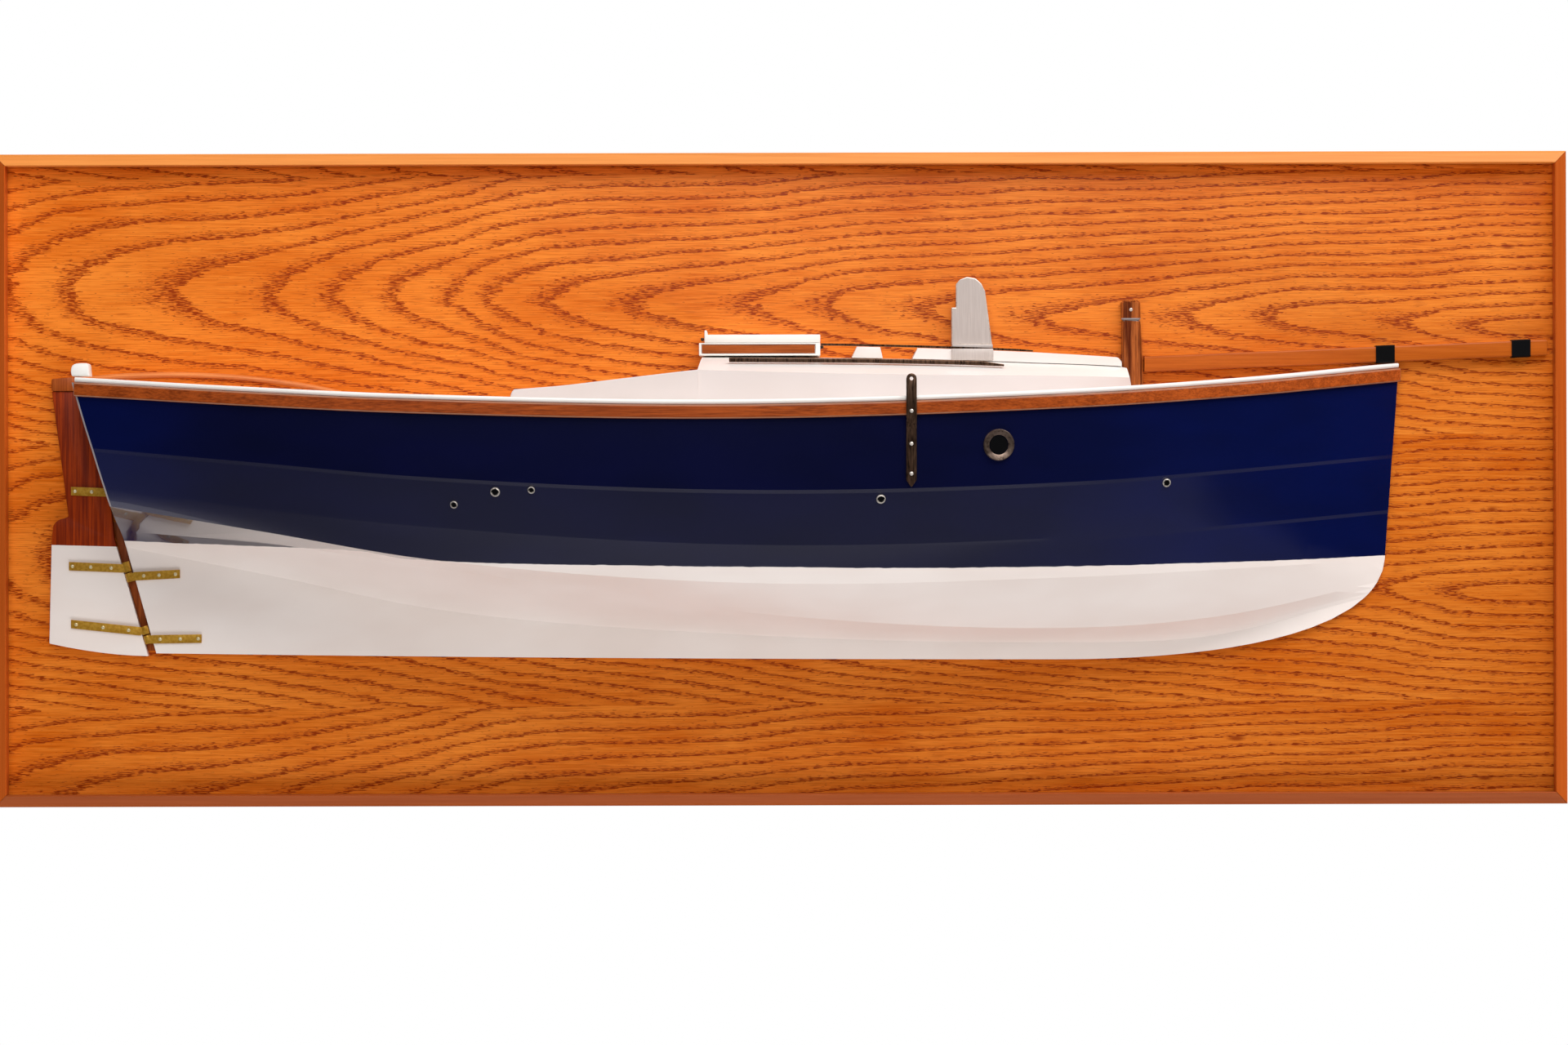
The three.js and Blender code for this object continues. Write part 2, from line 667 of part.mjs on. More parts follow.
// Hatch at the after end of the roof
const hatchFore = cabinAft + hatchLength;
const hatchZ = crownZ(cabinAft) + glueGap;
const hatchTop = hatchZ + hatchHeight;
const hatchSide = block(cabinAft, hatchFore, glueGap, hatchHalf, hatchZ, hatchTop);
const recess = {
  aft: cabinAft + hatchBorder,
  fore: hatchFore - 2 * hatchBorder,
  foot: hatchZ + hatchBorder * 0.7,
  head: hatchTop - hatchBorder / 2,
  back: hatchHalf - panelRecess,
};
add('companion_hatch', cut(hatchSide, block(
  recess.aft, recess.fore, recess.back, hatchHalf + 1, recess.foot, recess.head)), whitePaint);
add('hatch_panel', block(
  recess.aft + fitGap, recess.fore - fitGap, recess.back + glueGap, hatchHalf - 2 * glueGap,
  recess.foot + fitGap, recess.head - fitGap), varnishedWood);
const lidAft = cabinAft + lidSetback;
const lidZ = hatchTop + glueGap;
const lidTop = lidZ + lidThickness;
const lidSlab = block(lidAft, hatchFore, glueGap, hatchHalf, lidZ, lidTop);
const lidLip = block(
  lidAft, lidAft + lidUpstandLength, glueGap, hatchHalf, lidZ + lidThickness / 2, lidTop + lidUpstand);
add('hatch_lid', join(lidSlab, lidLip), whitePaint);

// Low blocks that stand on the cambered roof
function onRoof(stations, topAt) {
  const shoulder = 0.5;
  const loops = stations.map(({ x, topX, half }) => {
    const loop = shares(4).map((across) => new THREE.Vector3(
      x, face - glueGap - half * across, roofZ(x, half * across) + fitGap));
    const top = topAt(topX);
    loop.push(new THREE.Vector3(topX, face - glueGap - half + shoulder * 0.4, top - shoulder));
    loop.push(new THREE.Vector3(topX, face - glueGap - half + shoulder * 1.4, top));
    loop.push(new THREE.Vector3(topX, face - glueGap, top));
    return loop;
  });
  return loft(loops, flatYZ);
}

const padTop = (x) => crownZ(x) + padHeight - padFall * cabinShare(x) ** 2;
const padAft = hatchFore + padFromHatch - padTaper;
add('roof_pad', onRoof([
  { x: padAft, topX: padAft + padTaper, half: padHalf },
  { x: padAft + padLength, topX: padAft + padLength - padTaper / 2, half: padHalf },
], padTop), whitePaint);

const trunkAft = hatchFore + trunkFromHatch;
const trunkFore = postX - postSize / 2 - 2 * fitGap;
const railFore = hatchFore + runnerLength;
const trunkPlaces = [...shares(12).map((share) => mix(trunkAft, trunkFore - trunkNose, share)),
  trunkFore - trunkNose * 0.6, trunkFore - trunkNose * 0.25, trunkFore];
const trunkStations = trunkPlaces.map((x) => ({
  x,
  topX: x + (x === trunkAft ? padTaper : 0),
  half: mix(trunkHalf, trunkForeHalf, clamp((x - railFore) / (trunkFore - railFore), 0, 1)),
}));
const noseShare = (x) => clamp((x - trunkFore + trunkNose) / trunkNose, 0, 1);
add('fore_trunk', onRoof(trunkStations, (x) => padTop(x) - trunkNoseFall * noseShare(x) ** 2), whitePaint);

// A thin strip along the boat, with its fore end thinned down
function strip(from, to, outAt, width, heightAt, thickness, taper) {
  const loops = shares(12).map((share) => {
    const x = mix(from, to, share);
    const out = outAt(x);
    const z = heightAt(x);
    const thick = thickness * (share === 1 ? taper : 1);
    return [[out, z], [out + width, z], [out + width, z + thick], [out, z + thick]].map(
      ([at, height]) => new THREE.Vector3(x, face - glueGap - at, height));
  });
  return loft(loops, flatYZ);
}
add('roof_rail', strip(
  hatchFore + fitGap, railFore, () => trunkHalf - runnerWidth - 2 * fitGap, runnerWidth,
  (x) => padTop(x) + fitGap, runnerThickness, 0.7), bronze);

// Strip along the roof, low down above the cabin side
const grabAft = cabinAft + grabFromHatch;
const grabInner = (x) => Math.min(
  grabOut - grabNarrowing * (x - grabAft) / grabLength, cabinHalfAt(x) - 2 * grabWidth);
add('grab_strip', strip(
  grabAft, grabAft + grabLength, grabInner, grabWidth, (x) => roofZ(x, grabInner(x)) + fitGap,
  grabHeight, 0.45), bronze);

// Mast foot and its cheek plate with a web behind
const footAft = trunkAft + footFromTrunk;
const footZ = padTop(footAft) + glueGap;
add('tabernacle_foot', block(
  footAft, footAft + footLength, glueGap, footDepth, footZ, footZ + footHeight), aluminium);

function tabernacleGeometry() {
  const foot = footZ + footHeight + glueGap;
  const cheekAft = footAft + plateWeb;
  const head = plateHead.map(([along, down]) => [cheekAft + along, foot + plateHeight - down]).reverse();
  const cheek = plate(
    [[cheekAft, foot], [footAft + plateBase, foot], ...head], plateDepth - plateThickness, plateDepth);
  const web = block(
    footAft, cheekAft + plateThickness / 2, glueGap, plateDepth, foot, foot + plateWebHeight);
  return join(cheek, web);
}
add('tabernacle_plate', tabernacleGeometry(), aluminium);

// Post, half let into the board's face: foot, waist, groove and chamfered head
function postGeometry() {
  const foot = deckZ(postX, 0) + fitGap;
  const top = foot + postHeight;
  const neck = top - postHeadHeight;
  const levels = [
    [foot, postSize * 0.97], [mix(foot, neck, 0.45), postSize], [mix(foot, neck, 0.8), postSize * 0.93],
    [neck - 0.9, postHeadSize], [neck - 0.45, postHeadSize - 2 * postGroove], [neck, postHeadSize],
    [neck + postHeadChamfer / 2, postHeadSize + 0.3], [top - postHeadChamfer, postHeadSize + 0.3],
    [top, postHeadSize - 2 * postHeadChamfer],
  ];
  const loops = levels.map(([z, size]) => {
    const middle = postX - postLean * (z - foot) / postHeight;
    const [w, chamfer] = [size / 2, size * 0.11];
    return [[-w, 0], [w, 0], [w, w - chamfer], [w - chamfer, w], [chamfer - w, w], [-w, w - chamfer]].map(
      ([x, out]) => new THREE.Vector3(middle + x, face - glueGap - out, z));
  });
  return loft(loops, flatXY);
}
add('samson_post', postGeometry(), varnishedWood);
const postHeadZ = deckZ(postX, 0) + fitGap + postHeight - postHeadHeight / 2;
const postHeadX = postX - postLean * (1 - postHeadHeight / 2 / postHeight);
add('post_pin', boss(postPinRadius, 0.4).rotateX(Math.PI), steel)
  .position.set(postHeadX, face - glueGap - postHeadSize / 2 - fitGap, postHeadZ);

// Bowsprit: a flat-sided spar on the board's face, from the post over the stem head, with two black bands
const spritFoot = postX + postSize / 2 + fitGap;
const spritEnd = stemX + spritReach;
const spritZ = (x) => stemHead.y + spritSeat + spritHeight / 2 + spritRise * (x - stemX);
const sparSection = (near, far, half, arris) => [
  [near, -half], [near, half], [far - arris, half], [far, half - arris], [far, arris - half],
  [far - arris, -half],
];
function spar(from, to, section) {
  return loft([from, to].map((x) => section.map(
    ([out, up]) => new THREE.Vector3(x, face - out, spritZ(x) + up))), flatYZ);
}
function hoop(middle) {
  const gap = fitGap / 2;
  const [, ...inner] = sparSection(2 * glueGap, spritDepth + gap, spritHeight / 2 + gap, spritArris);
  const far = spritDepth + gap + bandThickness;
  const [foot, ...outer] = sparSection(2 * glueGap, far, spritHeight / 2 + gap + bandThickness, spritArris);
  const innerFoot = [2 * glueGap, -spritHeight / 2 - gap];
  const section = [...outer, foot, innerFoot, ...inner.toReversed()];
  return spar(middle - bandWidth / 2, middle + bandWidth / 2, section);
}
add('bowsprit', spar(
  spritFoot, spritEnd, sparSection(glueGap, spritDepth, spritHeight / 2, spritArris)), varnishedWood);
add('bowsprit_band_inner', hoop(stemX - innerBandFromStem), blackBand);
add('bowsprit_band_outer', hoop(spritEnd - outerBandFromEnd), blackBand);

// Chainplate: a flat bar that stands over the rubbing strake and lies against the side below it
const chainX = sternX + chainplateFromStern;
const chainRailZ = railLine.heightAt(railShare(chainX));
const chainStrakeFoot = chainRailZ - strakeTop - strakeHeight;
const chainBend = { foot: chainStrakeFoot - 6, head: chainStrakeFoot - 1 };
const chainFootZ = lapOneEdge.heightAt((chainX - lapOneEdge.from) / (lapOneEdge.to - lapOneEdge.from)) + 0.6;
// The bar is flat and the side curves, so it stands off by what the side falls away over half its width
const chainFallAway = Math.abs(railLine.halfAt(chainX) - railLine.halfAt(chainX + 1));
const chainSeat = fitGap + chainFallAway * chainplateWidth / 2;
function chainplateOut(z) {
  const onSide = sideAt(chainX, Math.min(z, chainStrakeFoot)) + chainSeat;
  const onStrake = Math.max(railLine.halfAt(chainX) + fitGap + strakeProud + chainSeat, onSide);
  return mix(onSide, onStrake, clamp((z - chainBend.foot) / (chainBend.head - chainBend.foot), 0, 1));
}
function chainplateGeometry() {
  const head = chainRailZ + chainplateRise;
  const half = chainplateWidth / 2;
  const levels = [
    [chainFootZ, half * 0.1], [chainFootZ + half * 1.3, half], [mix(chainFootZ, chainBend.foot, 0.5), half],
    [chainBend.foot, half], [chainBend.head, half], [head - half, half], [head - half * 0.5, half * 0.87],
    [head - half * 0.13, half * 0.5], [head, half * 0.06],
  ];
  const loops = levels.map(([z, w]) => {
    const section = [[-w, 0], [w, 0], [w, chainplateThickness], [-w, chainplateThickness]];
    const back = face - glueGap - chainplateOut(z);
    return section.map(([x, out]) => new THREE.Vector3(chainX + x, back - out, z));
  });
  const bar = loft(loops, flatXY);
  const eye = new THREE.CylinderGeometry(chainplateEyeRadius, chainplateEyeRadius, 8, 16);
  eye.translate(chainX, face - glueGap - chainplateOut(head), head - half);
  return cut(bar, eye);
}
add('chainplate', chainplateGeometry(), bronze);

// A flat round head on a surface: its radius, height and rounded edge
function boss(radius, height, sides = 12) {
  const points = [[0, 0], [radius, 0], [radius, height * 0.45], [radius * 0.75, height * 0.85], [0, height]];
  return new THREE.LatheGeometry(points.map(([x, y]) => new THREE.Vector2(x, y)), sides);
}

// Turns a lathe's axis out from the hull side at a place, and sets it there with a gap
function placeOnSide(mesh, x, z, gap) {
  const step = 1.5;
  const acrossX = sideAt(x + step, z) - sideAt(x - step, z);
  const acrossZ = sideAt(x, z + step) - sideAt(x, z - step);
  const normal = new THREE.Vector3(-acrossX / (2 * step), -1, -acrossZ / (2 * step)).normalize();
  mesh.quaternion.setFromUnitVectors(new THREE.Vector3(0, 1, 0), normal);
  mesh.position.set(x, face - glueGap - sideAt(x, z), z).addScaledVector(normal, gap);
}

chainplateBolts.forEach((aboveFoot, i) => {
  const z = chainFootZ + aboveFoot;
  const out = chainplateOut(z) + chainplateThickness + fitGap;
  add(`chainplate_bolt_${i + 1}`, boss(chainplateBoltRadius, 0.5).rotateX(Math.PI), steel)
    .position.set(chainX, face - glueGap - out, z);
});

// Hawse ring: its face dishes in from a raised rim, and a dark disc closes its bore
const hawseX = sternX + hawseFromStern;
const hawseZ = railLine.heightAt(railShare(hawseX)) - hawseBelowRail;
const ringInner = hawseBore + fitGap;
const ringSection = [
  [ringInner, 0], [hawseRadius, 0], [hawseRadius, hawseThickness * 0.6], [hawseRadius - 0.35, hawseThickness],
  [hawseRadius - 0.8, hawseThickness * 0.9], [ringInner + 0.35, hawseThickness * 0.5],
  [ringInner, hawseThickness * 0.35], [ringInner, 0],
].map(([x, y]) => new THREE.Vector2(x, y));
const discThickness = hawseThickness * 0.2;
const disc = new THREE.CylinderGeometry(hawseBore, hawseBore, discThickness, 24);
placeOnSide(add('hawse_ring', new THREE.LatheGeometry(ringSection, 32), steel), hawseX, hawseZ, fitGap);
placeOnSide(add('hawse_disc', disc.translate(0, discThickness / 2, 0), blackBand), hawseX, hawseZ, fitGap);

// Skin fittings: place from the stern, height as a share of the hull's depth, rim and bore
const skinFittings = [
  { fromStern: 178.8, height: 0.61, radius: 1.7, bore: 0.85 },
  { fromStern: 197.2, height: 0.657, radius: 2.15, bore: 1.2 },
  { fromStern: 213.1, height: 0.664, radius: 1.65, bore: 0.8 },
  { fromStern: 366.2, height: 0.627, radius: 2.1, bore: 1.15 },
  { fromStern: 494.2, height: 0.688, radius: 1.95, bore: 1.1 },
];
skinFittings.forEach(({ fromStern, height, radius, bore }, i) => {
  const section = [
    [0, 0], [radius, 0], [radius, fittingThickness * 0.5], [mix(radius, bore, 0.4), fittingThickness],
    [bore, fittingThickness * 0.8], [bore * 0.9, fittingThickness * 0.35], [0, fittingThickness * 0.35],
  ].map(([x, y]) => new THREE.Vector2(x, y));
  const mesh = add(`skin_fitting_${i + 1}`, new THREE.LatheGeometry(section, 12), steel);
  placeOnSide(mesh, sternX + fromStern, keelZ + height * hullDepth, fitGap);
});

// Rudder: a flat board on the centreline behind the sternpost line
const rudderFoot = keelZ + 2.4;
const rudderTopZ = railLine.heightAt(0) + rudderHeadRise;
const clearLine = (z) => postLine(z) - rudderGap;
const leading = (z) => clearLine(z)
  + rudderUnderStern * clamp((z - rudderStepTo) / (rudderStepFrom - rudderStepTo), 0, 1);
function rudderOutline() {
  const headFoot = rudderTopZ - rudderHeadHeight - glueGap;
  const [low, waist, shoulder, neck] = rudderChords.map(({ height, chord }) => {
    const z = keelZ + height * hullDepth;
    return new THREE.Vector2(clearLine(z) - chord, z);
  });
  const shape = new THREE.Shape();
  shape.moveTo(leading(headFoot), headFoot);
  for (const z of [rudderStepFrom, rudderStepTo, rudderFoot]) {
    shape.lineTo(leading(z), z);
  }
  shape.quadraticCurveTo(mix(leading(rudderFoot), low.x, 0.45), rudderFoot + 0.3, low.x, low.y);
  shape.lineTo(waist.x, waist.y);
  shape.lineTo(shoulder.x, shoulder.y);
  const turn = new THREE.Vector2(mix(shoulder.x, neck.x, 0.5), mix(shoulder.y, neck.y, 0.7));
  shape.quadraticCurveTo(shoulder.x + 1, mix(shoulder.y, neck.y, 0.5), turn.x, turn.y);
  shape.quadraticCurveTo(neck.x - 0.6, neck.y - 1, neck.x, neck.y);
  shape.lineTo(clearLine(headFoot) - rudderHeadWidth, headFoot);
  return shape.getPoints(6).map(({ x, y }) => [x, y]);
}
add('rudder', plate(rudderOutline(), glueGap, rudderThickness), varnishedWood);

function rudderHeadGeometry() {
  const foot = rudderTopZ - rudderHeadHeight;
  const foreEdge = (z) => leading(z) + 0.3 * rudderHeadProud;
  const after = clearLine(foot) - rudderHeadWidth;
  const outline = [
    [foreEdge(foot), foot], [foreEdge(rudderTopZ), rudderTopZ],
    [after, rudderTopZ - rudderHeadFall], [after, foot],
  ];
  return plate(outline, glueGap, rudderThickness + rudderHeadProud);
}
add('rudder_head', rudderHeadGeometry(), varnishedWood);

// Tiller: an arched bar from the rudder head over the transom and the after deck
function tillerGeometry() {
  const from = leading(rudderTopZ) + rudderHeadProud + fitGap;
  const z = rudderTopZ - tillerDiameter / 2;
  const curve = new THREE.CubicBezierCurve(
    new THREE.Vector2(from, z),
    new THREE.Vector2(from + tillerLength * 0.36, z + tillerRise),
    new THREE.Vector2(from + tillerLength * 0.72, z + tillerRise * 0.35),
    new THREE.Vector2(from + tillerLength, z - tillerDrop),
  );
  const loops = shares(16).map((share) => {
    const middle = curve.getPoint(share);
    const radius = tillerDiameter / 2 * mix(1, 0.8, share);
    return shares(8).map((around) => {
      const turn = (around - 0.5) * Math.PI;
      return new THREE.Vector3(
        middle.x, face - glueGap - radius * Math.cos(turn) * 1.6, middle.y + radius * Math.sin(turn));
    });
  });
  return loft(loops, flatYZ);
}
add('tiller', tillerGeometry(), varnishedWood);

// Brass straps. Each runs away from the gap at a height that is a share of the hull's depth.
// Pins are shares of its length, and some straps end in a barrel in the gap.
const straps = [
  {
    name: 'strap_upper', side: 'rudder', height: 0.663, length: 16.3, tilt: 0.04,
    pins: [0.116, 0.58],
  },
  {
    name: 'strap_middle_rudder', side: 'rudder', height: 0.365, length: 24.6, tilt: 0.045,
    pins: [0.07, 0.41, 0.79], barrel: { height: 0.37, length: 4.8 },
  },
  {
    name: 'strap_middle_hull', side: 'hull', height: 0.334, length: 21.2, tilt: 0.05,
    pins: [0.22, 0.55, 0.905], barrel: { height: 0.33, length: 4 },
  },
  {
    name: 'strap_lower_rudder', side: 'rudder', height: 0.118, length: 32, tilt: 0.108,
    pins: [0.075, 0.46, 0.825], barrel: { height: 0.122, length: 3.8 },
  },
  {
    name: 'strap_lower_hull', side: 'hull', height: 0.087, length: 22.7, tilt: 0.012,
    pins: [0.167, 0.572, 0.935], barrel: { height: 0.086, length: 3.8 },
  },
];

function addStrap({ name, side, height, length, tilt, pins, barrel }) {
  const z = keelZ + height * hullDepth;
  const onRudder = side === 'rudder';
  const away = onRudder ? -1 : 1;
  const edgeAt = onRudder ? leading : postLine;
  const half = strapHeight / 2;
  const corner = (along, up) => [edgeAt(z) + away * along, z + tilt * along + up];
  const corners = [corner(0, -half), corner(length, -half), corner(length, half), corner(0, half)];
  const onHull = glueGap + Math.max(...corners.map(([x, cornerZ]) => sideAt(x, cornerZ)));
  const near = (onRudder ? rudderThickness : onHull) + fitGap;
  const far = near + strapThickness;
  let geometry = plate(corners, near, far);
  if (barrel) {
    const middleZ = keelZ + barrel.height * hullDepth;
    const middleX = postLine(middleZ) - rudderGap / 2;
    const [x0, x1] = [middleX, corner(0.5, 0)[0]].sort((a, b) => a - b);
    const head = Math.min(middleZ + barrel.length / 2, z + half);
    const foot = Math.max(middleZ - barrel.length / 2, z - half);
    const radius = barrelDiameter / 2;
    const tube = new THREE.CylinderGeometry(radius, radius, barrel.length, 16).rotateX(Math.PI / 2);
    tube.rotateY(-Math.atan(sternRake)).translate(middleX, face - far - barrelProud + radius, middleZ);
    geometry = join(join(geometry, block(x0, x1, near, far, foot, head)), tube);
  }
  add(name, geometry, brass);
  pins.forEach((share, i) => {
    const [x, pinZ] = corner((onRudder ? 1 - share : share) * length, 0);
    add(`${name}_pin_${i + 1}`, boss(pinRadius, pinHeight, 8).rotateX(Math.PI), brass)
      .position.set(x, face - far - glueGap, pinZ);
  });
}
straps.forEach(addStrap);

export default model;
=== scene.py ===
import bpy
import bmesh
from functools import partial
from math import radians
from mathutils import Matrix, Vector


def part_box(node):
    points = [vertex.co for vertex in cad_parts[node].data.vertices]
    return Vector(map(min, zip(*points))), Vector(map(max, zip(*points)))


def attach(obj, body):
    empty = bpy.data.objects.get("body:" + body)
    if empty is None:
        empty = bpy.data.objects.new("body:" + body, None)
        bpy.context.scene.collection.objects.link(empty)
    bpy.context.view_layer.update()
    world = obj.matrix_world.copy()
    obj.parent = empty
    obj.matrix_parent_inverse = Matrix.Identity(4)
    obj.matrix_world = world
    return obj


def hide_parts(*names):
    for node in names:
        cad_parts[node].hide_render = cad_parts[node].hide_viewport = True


# A half hull model of a small gaff cutter on its framed board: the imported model, dressed and lit.
# Settings are in millimetres, and every mesh is in metres.
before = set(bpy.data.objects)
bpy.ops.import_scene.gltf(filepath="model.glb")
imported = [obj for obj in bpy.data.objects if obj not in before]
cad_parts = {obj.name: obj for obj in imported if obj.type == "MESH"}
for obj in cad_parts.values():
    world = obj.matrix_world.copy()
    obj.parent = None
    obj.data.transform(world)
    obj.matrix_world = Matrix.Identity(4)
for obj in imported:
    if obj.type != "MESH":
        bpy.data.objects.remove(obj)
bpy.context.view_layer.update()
mm = 0.001
tiny = 0.001 * mm                                # places closer than this are one
rgba = {"output": 2, "data_type": "RGBA"}        # a mix of two colours, its inputs 6 and 7
noiseMiddle = 0.5


def toLinear(code):
    channels = [int(code[i:i + 2], 16) / 255 for i in (1, 3, 5)]
    return (*[c / 12.92 if c <= 0.04045 else ((c + 0.055) / 1.055) ** 2.4 for c in channels], 1)


# Adds one node with its settings, and links or sets its inputs
def addNode(tree, kind, inputs=(), output=0, **settings):
    node = tree.nodes.new("ShaderNode" + kind)
    for key, value in settings.items():
        setattr(node, key, value)
    for key, value in inputs.items() if isinstance(inputs, dict) else enumerate(inputs):
        if isinstance(value, bpy.types.NodeSocket):
            tree.links.new(value, node.inputs[key])
        else:
            node.inputs[key].default_value = value
    return node.outputs[output] if node.outputs else node


# A material starts with the place on the piece in millimetres, from its Object coordinates
def startMaterial(name):
    material = bpy.data.materials.new(name)
    material.use_nodes = True
    material.node_tree.nodes.clear()
    add = partial(addNode, material.node_tree)
    place = add("VectorMath", {0: add("TexCoord", output=3), "Scale": 1 / mm}, operation="SCALE")
    return material, add, place


def finishMaterial(material, add, **inputs):
    shader = add("BsdfPrincipled", {key.replace("_", " "): value for key, value in inputs.items()})
    add("OutputMaterial", [shader])
    return material


# Noise drawn out to a grain of these sizes in millimetres
def grain(add, place, size, detail=2.0, roughness=0.5, output=0):
    stretched = add("VectorMath", [place, [1 / s for s in size]], operation="MULTIPLY")
    settings = {"Vector": stretched, "Scale": 1.0, "Detail": detail, "Roughness": roughness}
    return add("TexNoise", settings, output)


# Bends a curve through these places, of which the first and the last are its two ends
def shapeCurve(curve, places):
    mapping = curve.node.mapping
    points = mapping.curves[0].points
    for at, value in places[1:-1]:
        points.new(at, value)
    points[0].location = places[0]
    points[len(points) - 1].location = places[-1]
    mapping.update()


print("camera and light")
camera = {
    "place": (1.5, -2074.0, -19.9),
    "lens": 103.1,
    "sensor": 36,
    "roll": 0.0024,
}
cameraData = bpy.data.cameras.new("camera")
cameraData.lens = camera["lens"]
cameraData.sensor_width = camera["sensor"]
cameraObject = bpy.data.objects.new("camera", cameraData)
cameraObject.location = Vector(camera["place"]) * mm
cameraObject.rotation_euler = (radians(90), camera["roll"], 0)
bpy.context.scene.collection.objects.link(cameraObject)
bpy.context.scene.camera = cameraObject
bpy.context.scene.view_settings.view_transform = "Standard"

lights = {
    # place, aim, width, height, watts, whether it shows in shiny surfaces
    "keyLight": ((850, -1260, 1660), (0, -40, -20), 3200, 1300, 53, True),
    "frontFill": ((-300, -2600, 350), (0, -40, -20), 2000, 1200, 19, False),
    "underFill": ((60, -560, -880), (0, -60, -60), 1500, 500, 6.5, False),
}
for name, (place, aim, width, height, watts, isShown) in lights.items():
    light = bpy.data.lights.new(name, "AREA")
    light.shape = "RECTANGLE"
    light.size, light.size_y = width * mm, height * mm
    light.energy = watts
    lightObject = bpy.data.objects.new(name, light)
    lightObject.location = Vector(place) * mm
    lightObject.rotation_euler = (Vector(aim) - Vector(place)).to_track_quat("-Z", "Y").to_euler()
    lightObject.visible_camera = False
    lightObject.visible_glossy = isShown
    bpy.context.scene.collection.objects.link(lightObject)

# A dim room in front, pale behind and above, and white paper where the camera looks past the board. The
# gloss on the hull mirrors the room. A range is of a direction's X, Y or Z, then of how bright it gets.
room = {
    "paper": "#ffffff",
    "colour": "#f8f4ff",
    "above": (0.15, 0.75, 0.012, 0.4),       # from the dim front to the ceiling
    "under": (-0.53, -0.6),                  # where its floor starts
    "underBrightness": 0.15,
    "slant": (0.3, 0.65, 0.0, 0.1),          # the floor reaches higher towards the bow
    "nearer": (-0.79, -0.88, 0.0, 0.17),     # the brighter part of the floor near the board
    "nearerFrom": (-0.45, -0.1),             # and where that starts
    "aft": (-0.5, -0.25, 0.6, 1.0),          # the floor is darker towards the stern
    # a pale bench that the bow's lower strakes mirror: the angles where it starts and stops, and its top
    "bench": {"start": (0.82, 0.91), "stop": (0.97, 1.02, 1.0, 0.0), "top": (-0.24, -0.3)},
    "behind": (0.0, 0.4),
    "behindBrightness": 0.7,
}
world = bpy.data.worlds.new("studio")
world.use_nodes = True
world.node_tree.nodes.clear()
add = partial(addNode, world.node_tree)
across, deep, height = add("SeparateXYZ", [add("TexCoord")]).node.outputs
downward = add("Math", [height, add("MapRange", [across, *room["slant"]])], operation="SUBTRACT")
onFloor = add("MapRange", [downward, *room["under"]], interpolation_type="SMOOTHSTEP")
turned = add("Math", [across, add("Math", [deep, -1.0], operation="MULTIPLY")], operation="ARCTAN2")
isPast, isShort = [add("MapRange", [turned, *room["bench"][key]]) for key in ("start", "stop")]
isLow = add("MapRange", [height, *room["bench"]["top"]])
isBetween = add("Math", [isPast, isShort], operation="MULTIPLY")
onBench = add("Math", [isBetween, isLow], operation="MULTIPLY")
under = add("Math", [onFloor, onBench], operation="MAXIMUM")
under = add("Math", [under, room["underBrightness"]], operation="MULTIPLY")
nearer = add("MapRange", [height, *room["nearer"]], interpolation_type="SMOOTHSTEP")
fromStern = add("MapRange", [across, *room["nearerFrom"]])
under = add("Math", [fromStern, nearer, under], operation="MULTIPLY_ADD")
under = add("Math", [add("MapRange", [across, *room["aft"]]), under], operation="MULTIPLY")
above = add("MapRange", [height, *room["above"]], interpolation_type="SMOOTHSTEP")
front = add("Math", [under, above], operation="ADD")
isBehind = add("MapRange", [deep, *room["behind"]], interpolation_type="SMOOTHSTEP")
brightness = add("Mix", {0: isBehind, 2: front, 3: room["behindBrightness"]})
roomLight = add("Background", [toLinear(room["colour"]), brightness])
paper = add("Background", [toLinear(room["paper"])])
add("OutputWorld", [add("MixShader", [add("LightPath"), roomLight, paper])])
bpy.context.scene.world = world

# The floor is matt white paper, which gives back soft light and no reflections
floor = {"height": -480, "size": (6000, 1200), "front": 0, "colour": "#f2f0ed", "roughness": 0.6}
floorPaper, add, place = startMaterial("paleFloor")
finishMaterial(floorPaper, add, Base_Color=toLinear(floor["colour"]), Roughness=floor["roughness"])
sheet = bmesh.new()
bmesh.ops.create_grid(sheet, x_segments=1, y_segments=1, size=0.5)
bmesh.ops.scale(sheet, vec=Vector((*floor["size"], 1)) * mm, verts=sheet.verts)
middle = Vector((0, floor["front"] + floor["size"][1] / 2, floor["height"]))
bmesh.ops.translate(sheet, vec=middle * mm, verts=sheet.verts)
floorMesh = bpy.data.meshes.new("floor")
sheet.to_mesh(floorMesh)
sheet.free()
floorMesh.materials.append(floorPaper)
floorObject = bpy.data.objects.new("floor", floorMesh)
bpy.context.scene.collection.objects.link(floorObject)

print("materials")

